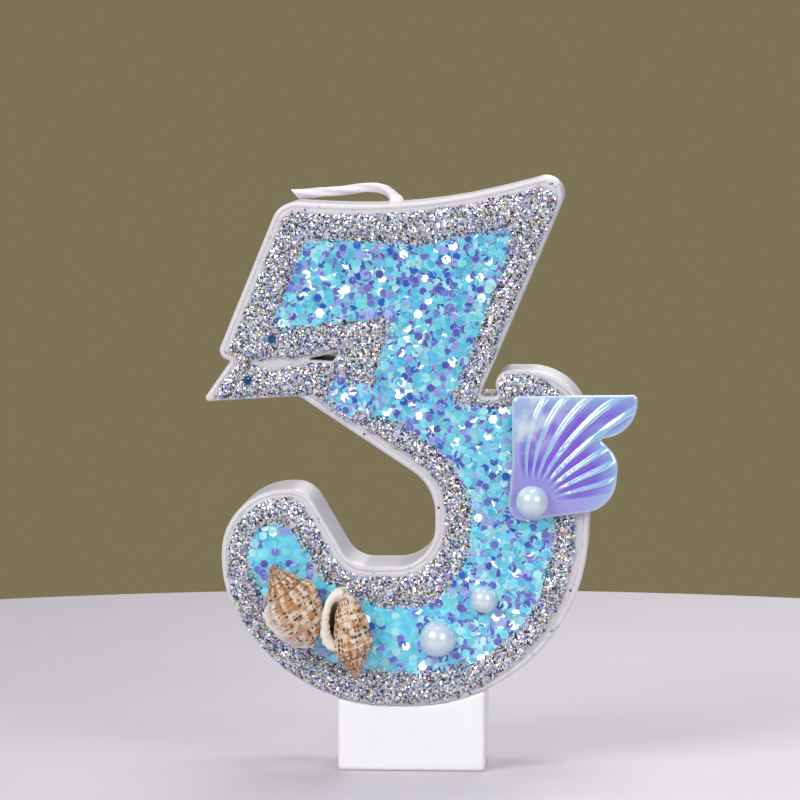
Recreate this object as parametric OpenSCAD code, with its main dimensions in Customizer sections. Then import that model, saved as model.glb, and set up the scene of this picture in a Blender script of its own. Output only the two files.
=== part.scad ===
// Birthday candle in the shape of the figure three, dressed as a sea shore.
// A flat wax numeral stands on a square-cut foot, with a wick in its top edge.
// Its front carries a silver glitter border round a pool of blue gel with
// loose hexagon sequins, a fan shell, three half pearls and two snail shells.
// The front faces -Y, +Z is up, and the origin is the middle of the foot's
// underside.

/* [Numeral] */
// Width of the wax numeral
figure_w = 45; // [38:0.5:56]
// Height of the wax numeral
figure_h = 62.2; // [52:0.5:76]
// Thickness of the wax numeral, front to back
figure_t = 12; // [9:0.5:16]
// Width of the stepped rim round the front and back faces
rim_w = 0.5; // [0.3:0.1:0.7]
// Depth of that rim
rim_t = 0.6; // [0.3:0.1:1]

/* [Foot] */
// Width of the foot
foot_w = 17; // [14:0.5:22]
// Depth of the foot, front to back
foot_d = 12; // [10:0.5:18]
// Height of the foot under the lowest point of the numeral
foot_h = 7.6; // [5:0.2:12]
// Height that the foot's ends reach up beside the numeral
foot_cheek = 1.6; // [0.6:0.2:2.4]
// Diameter of the peg that joins foot and numeral
peg_d = 4; // [3:0.5:6]
// Length of the peg inside the numeral
peg_l = 5; // [3:0.5:8]
// Clearance round the peg and round the wick
fit_gap = 0.1; // [0.05:0.05:0.3]

/* [Wick] */
// Diameter of the waxed wick
wick_d = 1.1; // [0.8:0.1:1.6]
// Depth that the wick reaches into the wax
wick_depth = 11; // [6:1:12]
// Height of the straight stub above the wax before the bend
wick_stub = 0.4; // [0.3:0.1:3]
// Length of the bent run
wick_run = 10.8; // [6:0.2:14]
// Inner radius of the bend
wick_bend = 0.8; // [0.6:0.1:2]

/* [Front dressing] */
// Thickness of the glitter border
border_t = 0.6; // [0.4:0.1:1]
// Depth of the gel's recess in the wax
pool_depth = 0.8; // [0.5:0.1:1.5]
// Height that the gel stands above the wax face
gel_rise = 0.6; // [0.4:0.1:1]
// Width of a loose sequin across its corners
sequin_w = 1; // [0.8:0.1:1.4]
// Thickness of a loose sequin
sequin_t = 0.2; // [0.1:0.05:0.3]
// Spacing of the loose sequins
sequin_pitch = 2.9; // [2.4:0.1:4]
// Least gap from a loose sequin to anything else
sequin_gap = 0.3; // [0.2:0.1:0.6]

/* [Fan shell] */
// Width of the fan shell
fan_w = 15; // [12:0.5:18]
// Height of the fan shell
fan_h = 14.8; // [12:0.2:18]
// Thickness of the fan shell's plate
fan_t = 0.9; // [0.7:0.1:1.4]
// Number of ribs on the fan shell
fan_ribs = 8; // [5:1:10]
// Diameter of a rib
rib_d = 0.8; // [0.5:0.1:1]
// Clearance between the fan shell and the dressing behind it
fan_clear = 0.3; // [0.2:0.1:0.8]
// Diameter of the glue dab behind the fan shell
fan_dab_d = 5; // [3:0.5:6]

/* [Pearls] */
// Diameter of the half pearl on the fan shell
fan_pearl_d = 3.7; // [2.5:0.1:4.5]
// Diameter of the large half pearl on the gel
large_pearl_d = 4; // [3:0.1:5]
// Diameter of the small half pearl on the gel
small_pearl_d = 3; // [2:0.1:4]
// Share of a pearl's radius that its flat back lies behind its middle
pearl_seat = 0.45; // [0.3:0.05:0.7]

/* [Snail shells] */
// Length of a snail shell
snail_l = 10.4; // [8:0.2:12.6]
// Width of a snail shell
snail_w = 5.8; // [4.8:0.2:7]
// Number of turns on a snail shell's spire
snail_turns = 5; // [3:1:7]
// Spacing of the two snail shells on top of one shell's width
snail_apart = 1.2; // [1.1:0.1:2]
// Clearance between a snail shell and the dressing behind it
snail_clear = 0.3; // [0.2:0.1:0.6]
// Diameter of the glue dab under a snail shell
snail_dab_d = 3.4; // [2.5:0.1:4.5]

/* [Hidden] */
$fn = 64;

// The numeral is drawn on a grid 45 wide and 62.2 high, from its lowest point
// up, and stretched to the sizes above. The fan shell has a grid of its own.
stretch_x = figure_w / 45;
stretch_z = figure_h / 62.2;
stretch_r = min(stretch_x, stretch_z);
fan_stretch_x = fan_w / 15;
fan_stretch_z = fan_h / 14.8;

// Each corner is [across, up, fillet radius, bare wax margin along the edge
// that follows it]. The corners run clockwise.
figure_grid = [
    [-15.2, 58.3, 2.8, 1.2], [1.0, 57.4, 70, 1.1], [18.9, 62.2, 2.2, 0.5],
    [7.8, 35.9, 0.4, 0.6], [10.0, 35.9, 0.4, 0.4], [9.2, 38.9, 1.6, 0.4],
    [20.4, 38.9, 7, 1.5], [20.4, 0, 20.5, 0.3], [-12.0, 0, 20, 0.3],
    [-22.0, 12.2, 14, 0.9], [-22.0, 25.1, 7.5, 1.0], [-12.2, 25.1, 3.4, 1.2],
    [-7.0, 16.2, 3.5, 1.3], [2.75, 16.2, 4.7, 1.3], [2.75, 25.5, 5.9, 1.3],
    [-13.0, 35.9, 2, 0.2], [-24.2, 35.2, 0.4, 0.8], [-20.9, 39.9, 0.1, 0.8],
    [-22.5, 40.5, 1.1, 1.2]];

// The slit that stays open between the top bar and the middle stroke, the wax
// left bare round it, and the pool, each corner as [across, up, radius].
slit_grid = [[-12.4, 40.1, 0.1], [-8.3, 41.0, 0.1], [-9.1, 39.9, 0.1]];
bare_grid = [
    [-19.3, 40.0, 0.2], [-12.1, 40.6, 1], [-7.9, 41.5, 0.1], [-8.7, 39.7, 0.1],
    [-12.2, 39.5, 1], [-16.2, 38.7, 1]];
pool_grid = [
    [-12.1, 54.0, 0.8], [1.0, 53.4, 20], [12.3, 55.5, 0.8], [4.9, 35.3, 0.8],
    [10.4, 34.8, 1], [16.6, 34.8, 3], [16.6, 18.9, 8], [14.2, 10.6, 5],
    [7.9, 5.0, 8], [-0.1, 3.7, 10], [-9.3, 4.7, 8], [-15.6, 9.1, 6],
    [-19.1, 16.6, 3], [-18.7, 21.2, 2.5], [-13.8, 21.2, 1.5], [-10.2, 14.8, 4],
    [-3.6, 11.7, 5], [2.6, 11.9, 4], [6.6, 17.1, 5], [7.0, 23.5, 5],
    [4.5, 28.6, 5], [-1.3, 32.8, 4], [-5.3, 33.9, 2], [-7.4, 33.4, 0.4],
    [-10.0, 35.8, 0.4], [-8.2, 39.2, 0.3], [-7.0, 37.2, 0.6], [-4.4, 37.5, 0.6],
    [-2.4, 45.0, 0.8], [-16.4, 43.4, 0.8]];

// The fan shell, from the middle of its pearl.
fan_grid = [
    [-3.0, -2.6, 1.8], [-2.3, 4.3, 6], [-2.4, 12.0, 0.8], [12.0, 12.2, 0.5],
    [12.0, 7.9, 4.2], [7.7, 7.1, 0.2], [9.9, 4.9, 3], [9.3, -0.9, 4]];
fan_rib_from = 8;
fan_rib_to = 92;

// Where the dressing stands on the numeral's grid, [across, up].
wick_spot = [-2.1, 50];
fan_spot = [14.0, 24.1];
large_pearl_spot = [3.1, 8.0];
small_pearl_spot = [8.4, 12.6];
snails_spot = [-10.6, 10.2];

// The snail shells lean from upright, and the right one stands on its tip.
left_lean = -30;
right_lean = 172;
snail_step = [0.5, -0.25];
spire_share = 0.55;
spire_growth = 1.45;
wick_bend_angle = 94;

// A snail shell's turns bulge just above each seam, by these shares of a turn
// and of its radius. The body turn runs round by an angle, in steps.
seam_back = 0.3;
seam_bulge = 1.04;
spire_curve = 0.9;
canal_angle = 72;
body_steps = 8;

// The right shell's mouth, as shares of the shell's width and length.
mouth_width_share = 0.22;
mouth_depth_share = 0.3;
mouth_length_share = 0.36;
mouth_up_share = -0.16;

// Share of a snail shell's width by which it sinks into its glue.
snail_sink_share = 0.3;

// Whole numbers and a share of the pitch that nudge and turn each sequin.
row_mark = 37;
column_mark = 101;
across_mark = 97;
up_mark = 53;
nudge_share = 1 / 8;

// Cuts reach past the face that they cut by this much.
cut_over = 1;

// Rounded corners turn by this angle a step, in steps of at least this length,
// and no fillet is smaller than this radius once its edges have moved.
arc_step = 6;
arc_least = 0.2;
fillet_least = 0.1;

function unit(v) = v / norm(v);
function flat(p) = [p[0], p[1]];
function side(u, v) = u[0] * v[1] - u[1] * v[0];
function turned(v, a) = [v[0] * cos(a) - v[1] * sin(a), v[0] * sin(a) + v[1] * cos(a)];

// Grid places and grid corners at their real places.
function placed(p) = [p[0] * stretch_x, foot_h + p[1] * stretch_z];
function placed_all(pts) = [for (p = pts) [each placed(p), p[2] * stretch_r, p[3]]];

// The arc that rounds corner b between its neighbours a and c.
function corner_arc(a, b, c) =
    let (
        to_a = unit(flat(a) - flat(b)),
        to_c = unit(flat(c) - flat(b)),
        half = acos(to_a * to_c) / 2,
        reach = b[2] / tan(half),
        middle = flat(b) + unit(to_a + to_c) * b[2] / sin(half),
        start = flat(b) + to_a * reach - middle,
        sweep = (180 - 2 * half) * sign(side(to_c, to_a)),
        longest = floor(abs(sweep) * PI / 180 * b[2] / arc_least),
        steps = max(1, min(ceil(abs(sweep) / arc_step), longest)))
    [for (i = [0 : steps]) middle + turned(start, sweep * i / steps)];

// A closed outline with every corner rounded.
function outline(pts) =
    let (n = len(pts))
    [for (i = [0 : n - 1]) each corner_arc(pts[(i + n - 1) % n], pts[i], pts[(i + 1) % n])];

// Corner b after the edges before and after it have moved inwards.
function moved_corner(a, b, c, before, after) =
    let (
        u = unit(flat(b) - flat(a)),
        v = unit(flat(c) - flat(b)),
        in_u = [u[1], -u[0]],
        in_v = [v[1], -v[0]],
        radius = b[2] + sign(side(u, v)) * min(before, after))
    [each flat(b) + in_u * before + u * (after - before * (in_u * in_v)) / (in_v * u),
        max(fillet_least, radius)];

// Corners with the edge after each moved inwards by its own width.
function inset(pts, widths) =
    let (n = len(pts))
    [for (i = [0 : n - 1])
        moved_corner(pts[(i + n - 1) % n], pts[i], pts[(i + 1) % n],
            widths[(i + n - 1) % n], widths[i])];

// Distances along a ray at which it crosses an outline.
function crossings(pts, from, along) =
    let (n = len(pts))
    [for (i = [0 : n - 1])
        let (
            a = pts[i] - from,
            edge = pts[(i + 1) % n] - pts[i],
            slant = side(along, edge),
            share = slant == 0 ? -1 : side(a, along) / slant,
            reach = slant == 0 ? -1 : side(a, edge) / slant)
        if (share >= 0 && share < 1 && reach > 0) reach];

function inside(pts, p) = len(crossings(pts, p, [1, 0])) % 2 == 1;

// Distance from a point to the nearest edge of an outline.
function edge_gap(pts, p) =
    let (n = len(pts))
    min([for (i = [0 : n - 1])
        let (
            a = pts[i],
            edge = pts[(i + 1) % n] - a,
            share = max(0, min(1, (p - a) * edge / (edge * edge))))
        norm(p - a - edge * share)]);

figure_corners = placed_all(figure_grid);
figure_edge = outline(figure_corners);
face_edge = outline(inset(figure_corners, [for (p = figure_grid) rim_w]));
border_edge = outline(inset(figure_corners, [for (p = figure_grid) p[3]]));
slit_edge = outline(placed_all(slit_grid));
bare_edge = outline(placed_all(bare_grid));
pool_edge = outline(placed_all(pool_grid));
fan_edge = outline([for (p = fan_grid) [p[0] * fan_stretch_x, p[1] * fan_stretch_z, p[2]]]);

// Depths, from the numeral's middle forwards.
front_y = -figure_t / 2;
gel_y = front_y - gel_rise;
dressing_y = min(gel_y - sequin_t, front_y - border_t);
fan_back_y = dressing_y - fan_clear;
fan_front_y = fan_back_y - fan_t;
snail_y = dressing_y - snail_clear - snail_w / 2;

wick_at = placed(wick_spot);
wick_exit_z = wick_at[1] + max(crossings(figure_edge, wick_at, [0, 1]));
fan_at = placed(fan_spot);
large_pearl_at = placed(large_pearl_spot);
small_pearl_at = placed(small_pearl_spot);
left_snail_at = placed(snails_spot) - snail_step * (snail_w + snail_apart);
right_snail_at = placed(snails_spot) + snail_step * (snail_w + snail_apart);

// Round things on the gel that the loose sequins keep clear of, [place, radius].
keep_clear = [
    [fan_at, fan_dab_d / 2], [large_pearl_at, large_pearl_d / 2],
    [small_pearl_at, small_pearl_d / 2], [left_snail_at, snail_dab_d / 2],
    [right_snail_at, snail_dab_d / 2]];

function clear_of_all(p, margin) =
    min([for (k = keep_clear) norm(p - k[0]) - k[1]]) > margin;

// Sequins lie in staggered rows, each nudged and turned a little.
sequin_spots =
    let (
        margin = sequin_w / 2 + sequin_gap,
        rows = ceil(figure_h / sequin_pitch),
        columns = ceil(figure_w / sequin_pitch))
    [for (row = [0 : rows], column = [-columns : columns])
        let (
            mark = row_mark * row + column_mark * column,
            nudge = [sin(across_mark * mark), cos(up_mark * mark)] * sequin_pitch * nudge_share,
            p = [(column + row % 2 / 2) * sequin_pitch, foot_h + row * sequin_pitch] + nudge)
        if (inside(pool_edge, p) && edge_gap(pool_edge, p) > margin && clear_of_all(p, margin))
            [p, mark]];

// A flat outline made solid between two depths.
module slab(edge, from_y, to_y) {
    translate([0, to_y, 0])
        rotate([90, 0, 0])
            linear_extrude(to_y - from_y)
                polygon(edge);
}

// A round bar between two depths, standing on a place of the front.
module disc(at, diameter, from_y, to_y) {
    translate([at[0], to_y, at[1]])
        rotate([90, 0, 0])
            cylinder(d = diameter, h = to_y - from_y);
}

// A half pearl whose flat back lies at a depth.
module half_pearl(at, diameter, back_y) {
    radius = diameter / 2;
    color("ghostwhite")
        translate([at[0], back_y, at[1]])
            rotate([90, 0, 0])
                rotate_extrude()
                    intersection() {
                        translate([0, radius * pearl_seat])
                            circle(d = diameter);
                        square(diameter);
                    }
}

// Half the outline of a snail shell, from its tip down to its canal: stepped
// turns that grow by a constant ratio, then one round body turn.
function spire_z(turn) =
    spire_share * snail_l * (pow(spire_growth, turn) - 1) / (pow(spire_growth, snail_turns) - 1);
function spire_r(turn) =
    snail_w / 2 * pow(spire_z(turn) / (spire_share * snail_l), spire_curve);
function body_z(angle) =
    snail_l * (spire_share + (1 - spire_share) * sin(angle) / sin(canal_angle));
snail_profile = [
    [0, 0],
    for (turn = [1 : snail_turns - 1])
        each [
            [spire_r(turn) * seam_bulge, -spire_z(turn - seam_back)],
            [spire_r(turn), -spire_z(turn)]],
    for (i = [0 : body_steps])
        let (angle = canal_angle * i / body_steps)
        [snail_w / 2 * cos(angle), -body_z(angle)],
    [0, -snail_l]];

module snail_body(at, lean) {
    translate([at[0], snail_y, at[1]])
        rotate([0, lean, 0])
            translate([0, 0, snail_l / 2])
                rotate_extrude()
                    polygon(snail_profile);
}

module wax_numeral() {
    color("white")
        difference() {
            union() {
                slab(figure_edge, front_y + rim_t, -front_y - rim_t);
                slab(face_edge, front_y, -front_y);
            }
            slab(slit_edge, front_y - cut_over, cut_over - front_y);
            slab(pool_edge, front_y - cut_over, front_y + pool_depth);
            translate([wick_at[0], 0, wick_exit_z - wick_depth])
                cylinder(d = wick_d + 2 * fit_gap, h = wick_depth + cut_over);
            translate([0, 0, foot_h - cut_over])
                cylinder(d = peg_d + 2 * fit_gap, h = peg_l + fit_gap + cut_over);
        }
}

module foot_block() {
    color("snow") {
        difference() {
            translate([-foot_w / 2, -foot_d / 2, 0])
                cube([foot_w, foot_d, foot_h + foot_cheek]);
            slab(figure_edge, -foot_d, foot_d);
        }
        translate([0, 0, foot_h / 2])
            cylinder(d = peg_d, h = foot_h / 2 + peg_l);
    }
}

module wick() {
    bend = wick_bend + wick_d / 2;
    color("whitesmoke")
        translate([wick_at[0], 0, wick_exit_z - wick_depth]) {
            cylinder(d = wick_d, h = wick_depth + wick_stub);
            translate([-bend, 0, wick_depth + wick_stub])
                rotate([90, 0, 0]) {
                    rotate_extrude(angle = wick_bend_angle)
                        translate([bend, 0])
                            circle(d = wick_d);
                    rotate([0, 0, wick_bend_angle])
                        translate([bend, 0, 0])
                            rotate([-90, 0, 0])
                                cylinder(d = wick_d, h = wick_run);
                }
        }
}

module glitter_border() {
    color("silver")
        difference() {
            slab(border_edge, front_y - border_t, front_y);
            slab(pool_edge, front_y - border_t - cut_over, front_y + cut_over);
            slab(bare_edge, front_y - border_t - cut_over, front_y + cut_over);
        }
}

module blue_gel() {
    color("deepskyblue")
        slab(pool_edge, gel_y, front_y + pool_depth);
}

module loose_sequins() {
    color("slateblue")
        for (spot = sequin_spots)
            translate([spot[0][0], gel_y, spot[0][1]])
                rotate([90, spot[1], 0])
                    cylinder(d = sequin_w, h = sequin_t, $fn = 6);
}

module fan_shell() {
    color("mediumpurple")
        translate([fan_at[0], 0, fan_at[1]]) {
            slab(fan_edge, fan_front_y, fan_back_y);
            for (i = [0 : fan_ribs - 1])
                let (
                    angle = fan_rib_from + (fan_rib_to - fan_rib_from) * i / (fan_ribs - 1),
                    start = fan_pearl_d / 2 + rib_d,
                    end = min(crossings(fan_edge, [0, 0], [cos(angle), sin(angle)])) - rib_d)
                translate([start * cos(angle), fan_front_y, start * sin(angle)])
                    rotate([0, 90 - angle, 0])
                        cylinder(d = rib_d, h = end - start);
        }
}

module fan_glue_dab() {
    color("lightyellow")
        disc(fan_at, fan_dab_d, fan_back_y, gel_y);
}

module fan_pearl() {
    half_pearl(fan_at, fan_pearl_d, fan_front_y);
}

module large_pearl() {
    half_pearl(large_pearl_at, large_pearl_d, gel_y);
}

module small_pearl() {
    half_pearl(small_pearl_at, small_pearl_d, gel_y);
}

module left_snail_shell() {
    color("burlywood")
        snail_body(left_snail_at, left_lean);
}

// The right shell shows its mouth: a slot with round ends, cut along the body.
module right_snail_shell() {
    mouth_w = mouth_width_share * snail_w;
    mouth_l = mouth_length_share * snail_l;
    mouth_floor_y = snail_y - snail_w / 2 + mouth_depth_share * snail_w;
    color("tan")
        difference() {
            snail_body(right_snail_at, right_lean);
            translate([right_snail_at[0], mouth_floor_y, right_snail_at[1]])
                rotate([0, right_lean, 0])
                    translate([mouth_w / 2, 0, mouth_up_share * snail_l])
                        rotate([90, 0, 0])
                            hull()
                                for (end = [-1, 1])
                                    translate([0, end * (mouth_l - mouth_w) / 2, 0])
                                        cylinder(d = mouth_w, h = snail_w, $fn = 32);
        }
}

module snail_glue_dabs() {
    color("lightyellow")
        difference() {
            for (at = [left_snail_at, right_snail_at])
                disc(at, snail_dab_d, snail_y + snail_sink_share * snail_w, gel_y);
            snail_body(left_snail_at, left_lean);
            snail_body(right_snail_at, right_lean);
        }
}

wax_numeral();
foot_block();
wick();
glitter_border();
blue_gel();
loose_sequins();
fan_shell();
fan_glue_dab();
fan_pearl();
large_pearl();
small_pearl();
left_snail_shell();
right_snail_shell();
snail_glue_dabs();
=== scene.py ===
"""Looks of a birthday candle shaped as the figure three and dressed as a sea shore.

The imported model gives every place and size. This script builds the cast wax,
the glitter, the sequins in gel, the shells, the pearls and the wick round it.
The front faces -Y and +Z is up. Lengths are in metres.
"""

import logging
import math
from dataclasses import dataclass, field
from enum import Enum
from functools import partial
from typing import Callable, Sequence

import bpy
import numpy as np
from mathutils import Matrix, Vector
from mathutils.geometry import delaunay_2d_cdt


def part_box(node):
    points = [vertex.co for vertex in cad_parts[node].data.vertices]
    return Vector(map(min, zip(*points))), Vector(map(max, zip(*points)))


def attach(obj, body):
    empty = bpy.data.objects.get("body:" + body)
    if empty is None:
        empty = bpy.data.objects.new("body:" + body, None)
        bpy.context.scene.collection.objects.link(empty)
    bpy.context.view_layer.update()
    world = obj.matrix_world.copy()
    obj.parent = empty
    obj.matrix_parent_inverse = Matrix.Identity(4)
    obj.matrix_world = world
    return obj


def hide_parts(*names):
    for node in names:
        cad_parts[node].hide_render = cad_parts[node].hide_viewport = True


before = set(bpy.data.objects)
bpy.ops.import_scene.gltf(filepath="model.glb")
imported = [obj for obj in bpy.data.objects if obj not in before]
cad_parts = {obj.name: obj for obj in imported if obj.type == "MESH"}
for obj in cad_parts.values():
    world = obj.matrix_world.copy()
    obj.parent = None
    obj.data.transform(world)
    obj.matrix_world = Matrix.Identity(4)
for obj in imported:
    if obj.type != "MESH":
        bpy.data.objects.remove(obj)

MM = 0.001
BODY = "root"
Array = np.ndarray
Socket = bpy.types.NodeSocket
Feed = float | tuple | bpy.types.NodeSocket
Colour = tuple[float, float, float]
LOG = logging.getLogger("candle")


class Slot(Enum):
    """The record's finishes."""

    WAX = "wax"
    FOOT = "foot"
    WICK = "wick"
    GLITTER = "glitter"
    GEL = "gel"
    SEQUIN = "sequin"
    FAN = "fan"
    PEARL = "pearl"
    SNAIL = "snail"
    GLUE = "glue"


def in_mm(*lengths: float) -> tuple[float, ...]:
    """Lengths given in millimetres, in metres."""
    return tuple(length * MM for length in lengths)


# ---------------------------------------------------------------- outlines


def signed_area(loop: Array) -> float:
    """Area of a closed outline, above zero when it runs anticlockwise."""
    x, z = loop[:, 0], loop[:, 1]
    return 0.5 * float(np.sum(x * np.roll(z, -1) - np.roll(x, -1) * z))


def outlines_at(node: str, depth: float) -> list[Array]:
    """Closed outlines of the flat faces that a CAD node has at one depth.

    Args:
        node: the CAD node.
        depth: place of the faces along Y.

    Returns:
        Outlines as (across, up) points, the one that encloses most first.
    """
    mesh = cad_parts[node].data
    places = [tuple(round(c * 1e6) for c in v.co) for v in mesh.vertices]
    level = round(depth * 1e6)
    edges = set()
    for face in mesh.polygons:
        corners = [places[i] for i in face.vertices]
        if all(abs(c[1] - level) <= 3 for c in corners):
            edges.update(zip(corners, corners[1:] + corners[:1]))
    follow = {a: b for a, b in edges if (b, a) not in edges}
    loops = []
    while follow:
        start, here = follow.popitem()
        loop = [start]
        while here != start and here in follow:
            loop.append(here)
            here = follow.pop(here)
        loops.append(np.array([[p[0], p[2]] for p in loop], float) * 1e-6)
    return sorted(loops, key=lambda p: -abs(signed_area(p)))


def softened(loop: Array, rounds: int, longest: float) -> Array:
    """An outline with new points on a smooth curve, then its long edges split.

    Args:
        loop: the outline.
        rounds: how often the number of points is doubled.
        longest: the length above which an edge is split.
    """
    for _ in range(rounds):
        before, after, beyond = (np.roll(loop, s, axis=0) for s in (1, -1, -2))
        lengths = np.linalg.norm(after - loop, axis=1, keepdims=True)
        around = np.maximum(
            np.linalg.norm(loop - before, axis=1, keepdims=True),
            np.linalg.norm(beyond - after, axis=1, keepdims=True),
        )
        curved = (9 * (loop + after) - before - beyond) / 16
        even = np.minimum(lengths, around) > 0.3 * np.maximum(lengths, around)
        middle = np.where(even, curved, (loop + after) / 2)
        loop = np.stack([loop, middle], axis=1).reshape(-1, 2)
    points = []
    for a, b in zip(loop, np.roll(loop, -1, axis=0)):
        parts = max(1, math.ceil(float(np.linalg.norm(b - a)) / longest))
        points += [a + (b - a) * i / parts for i in range(parts)]
    return np.array(points)


def distance_to(loops: Sequence[Array], points: Array) -> Array:
    """Distance from each point to the nearest of some closed outlines."""
    best = np.full(len(points), np.inf)
    for loop in loops:
        a = loop
        edge = np.roll(loop, -1, axis=0) - a
        long = np.maximum((edge**2).sum(1), 1e-18)
        for start in range(0, len(points), 4000):
            part = points[start : start + 4000, None, :] - a[None, :, :]
            share = np.clip((part * edge).sum(2) / long, 0, 1)
            gap = np.linalg.norm(part - share[..., None] * edge, axis=2).min(1)
            best[start : start + 4000] = np.minimum(best[start : start + 4000], gap)
    return best


def within(loops: Sequence[Array], points: Array) -> Array:
    """Whether each point lies inside outlines, counting holes as outside."""
    inside = np.zeros(len(points), bool)
    for loop in loops:
        a, b = loop, np.roll(loop, -1, axis=0)
        for start in range(0, len(points), 4000):
            p = points[start : start + 4000, None, :]
            spans = (a[:, 1] > p[..., 1]) != (b[:, 1] > p[..., 1])
            rise = np.where(b[:, 1] == a[:, 1], 1, b[:, 1] - a[:, 1])
            cross = a[:, 0] + (p[..., 1] - a[:, 1]) * (b[:, 0] - a[:, 0]) / rise
            inside[start : start + 4000] ^= (spans & (p[..., 0] < cross)).sum(1) % 2 == 1
    return inside


def inset(loop: Array, width: float, outer: bool = True) -> Array:
    """Points of an outline moved sideways, without those that would cross over.

    Args:
        loop: the outline.
        width: how far the points move, into the solid where above zero.
        outer: whether the outline is the solid's outside and not a hole in it.
    """
    turn = 1.0 if (signed_area(loop) > 0) == outer else -1.0
    ahead = np.roll(loop, -1, axis=0) - loop
    ahead /= np.maximum(np.linalg.norm(ahead, axis=1, keepdims=True), 1e-12)
    behind = np.roll(ahead, 1, axis=0)
    normals = [np.stack([-d[:, 1], d[:, 0]], 1) * turn for d in (behind, ahead)]
    both = normals[0] + normals[1]
    moved = loop + both * width / np.maximum((both * both).sum(1, keepdims=True) / 2, 0.3)
    kept = distance_to([loop], moved) > abs(width) * 0.97
    return moved[kept]


def ripple(points: Array, size: float, seed: int) -> Array:
    """Smooth wander between -1 and 1 over (across, up) or space points.

    Args:
        points: the places.
        size: length of the waves.
        seed: picks the waves.
    """
    rng = np.random.default_rng(seed)
    total = np.zeros(len(points))
    for octave in range(3):
        for _ in range(4):
            way = rng.normal(size=points.shape[1])
            way *= 2 * math.pi * 1.7**octave / (size * np.linalg.norm(way))
            total += np.sin(points @ way + rng.uniform(0, 2 * math.pi)) / 1.6**octave
    return np.clip(total / 4.5, -1, 1)


# ------------------------------------------------------------------ meshes


@dataclass
class Mesh:
    """A mesh under construction: points, faces and values carried by points."""

    points: Array
    faces: list[tuple[int, ...]]
    values: dict[str, Array] = field(default_factory=dict)
    colours: dict[str, Array] = field(default_factory=dict)

    def joined(self, other: "Mesh") -> "Mesh":
        """This mesh and another as one, with the values that both carry."""
        shift = len(self.points)
        return Mesh(
            np.vstack([self.points, other.points]),
            self.faces + [tuple(i + shift for i in f) for f in other.faces],
            {k: np.concatenate([v, other.values[k]]) for k, v in self.values.items()},
            {k: np.vstack([v, other.colours[k]]) for k, v in self.colours.items()},
        )

    def outward(self) -> "Mesh":
        """This mesh with its faces turned to face out of the solid."""
        volume = 0.0
        middle = self.points.mean(0)
        for face in self.faces:
            a = self.points[face[0]] - middle
            for i, j in zip(face[1:-1], face[2:]):
                volume += float(np.dot(a, np.cross(self.points[i] - middle, self.points[j] - middle)))
        if volume < 0:
            self.faces = [tuple(face[::-1]) for face in self.faces]
        return self

    def placed(self, name: str, material: bpy.types.Material, smooth: float = 180) -> bpy.types.Object:
        """Makes the Blender object.

        Args:
            name: the piece's name.
            material: its material.
            smooth: the angle in degrees above which an edge stays sharp.

        Returns:
            The new object, which rides on nothing yet.
        """
        data = bpy.data.meshes.new(name)
        data.from_pydata([tuple(p) for p in self.points], [], self.faces)
        for key, value in self.values.items():
            layer = data.attributes.new(key, "FLOAT", "POINT")
            layer.data.foreach_set("value", np.asarray(value, np.float32))
        for key, value in self.colours.items():
            layer = data.color_attributes.new(key, "FLOAT_COLOR", "POINT")
            rgba = np.concatenate([value, np.ones((len(value), 1))], axis=1)
            layer.data.foreach_set("color", rgba.astype(np.float32).ravel())
        data.materials.append(material)
        data.update()
        if smooth > 0:
            data.shade_smooth()
            if smooth < 180:
                data.set_sharp_from_angle(angle=math.radians(smooth))
        piece = bpy.data.objects.new(name, data)
        bpy.context.scene.collection.objects.link(piece)
        return piece


def fitted(piece: bpy.types.Object, slot: Slot, *nodes: str) -> None:
    """Fixes a piece to the candle and hides what it stands for.

    Args:
        piece: the new object.
        slot: not used.
        nodes: CAD nodes that the piece stands for.
    """
    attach(piece, BODY)
    if nodes:
        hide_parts(*nodes)
    LOG.info("%s: %d faces", piece.name, len(piece.data.polygons))


def tidy_triangles(loops: Sequence[Array], extra: Array, lines: Sequence[Array]) -> tuple[Array, Array]:
    """Fills a flat region with triangles.

    Args:
        loops: the region's outlines, holes among them.
        extra: further points inside.
        lines: further closed outlines that triangles keep to.

    Returns:
        The points, those of loops first and in order, and the triangles.
    """
    points, edges = [], []
    for loop in [*loops, *lines]:
        start, count = len(points), len(loop)
        points += [Vector(p) for p in loop]
        edges += [(start + i, start + (i + 1) % count) for i in range(count)]
    points += [Vector(p) for p in extra]
    made = delaunay_2d_cdt(points, edges, [], 0, 1e-8)
    verts = np.array([tuple(v) for v in made[0]])
    tris = np.array([f for f in made[2] if len(f) == 3])
    tris = tris[within(loops, verts[tris].mean(1))]
    corner = verts[tris]
    area = (corner[:, 1, 0] - corner[:, 0, 0]) * (corner[:, 2, 1] - corner[:, 0, 1]) - (
        corner[:, 1, 1] - corner[:, 0, 1]
    ) * (corner[:, 2, 0] - corner[:, 0, 0])
    tris[area < 0] = tris[area < 0][:, ::-1]
    return verts, tris


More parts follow.
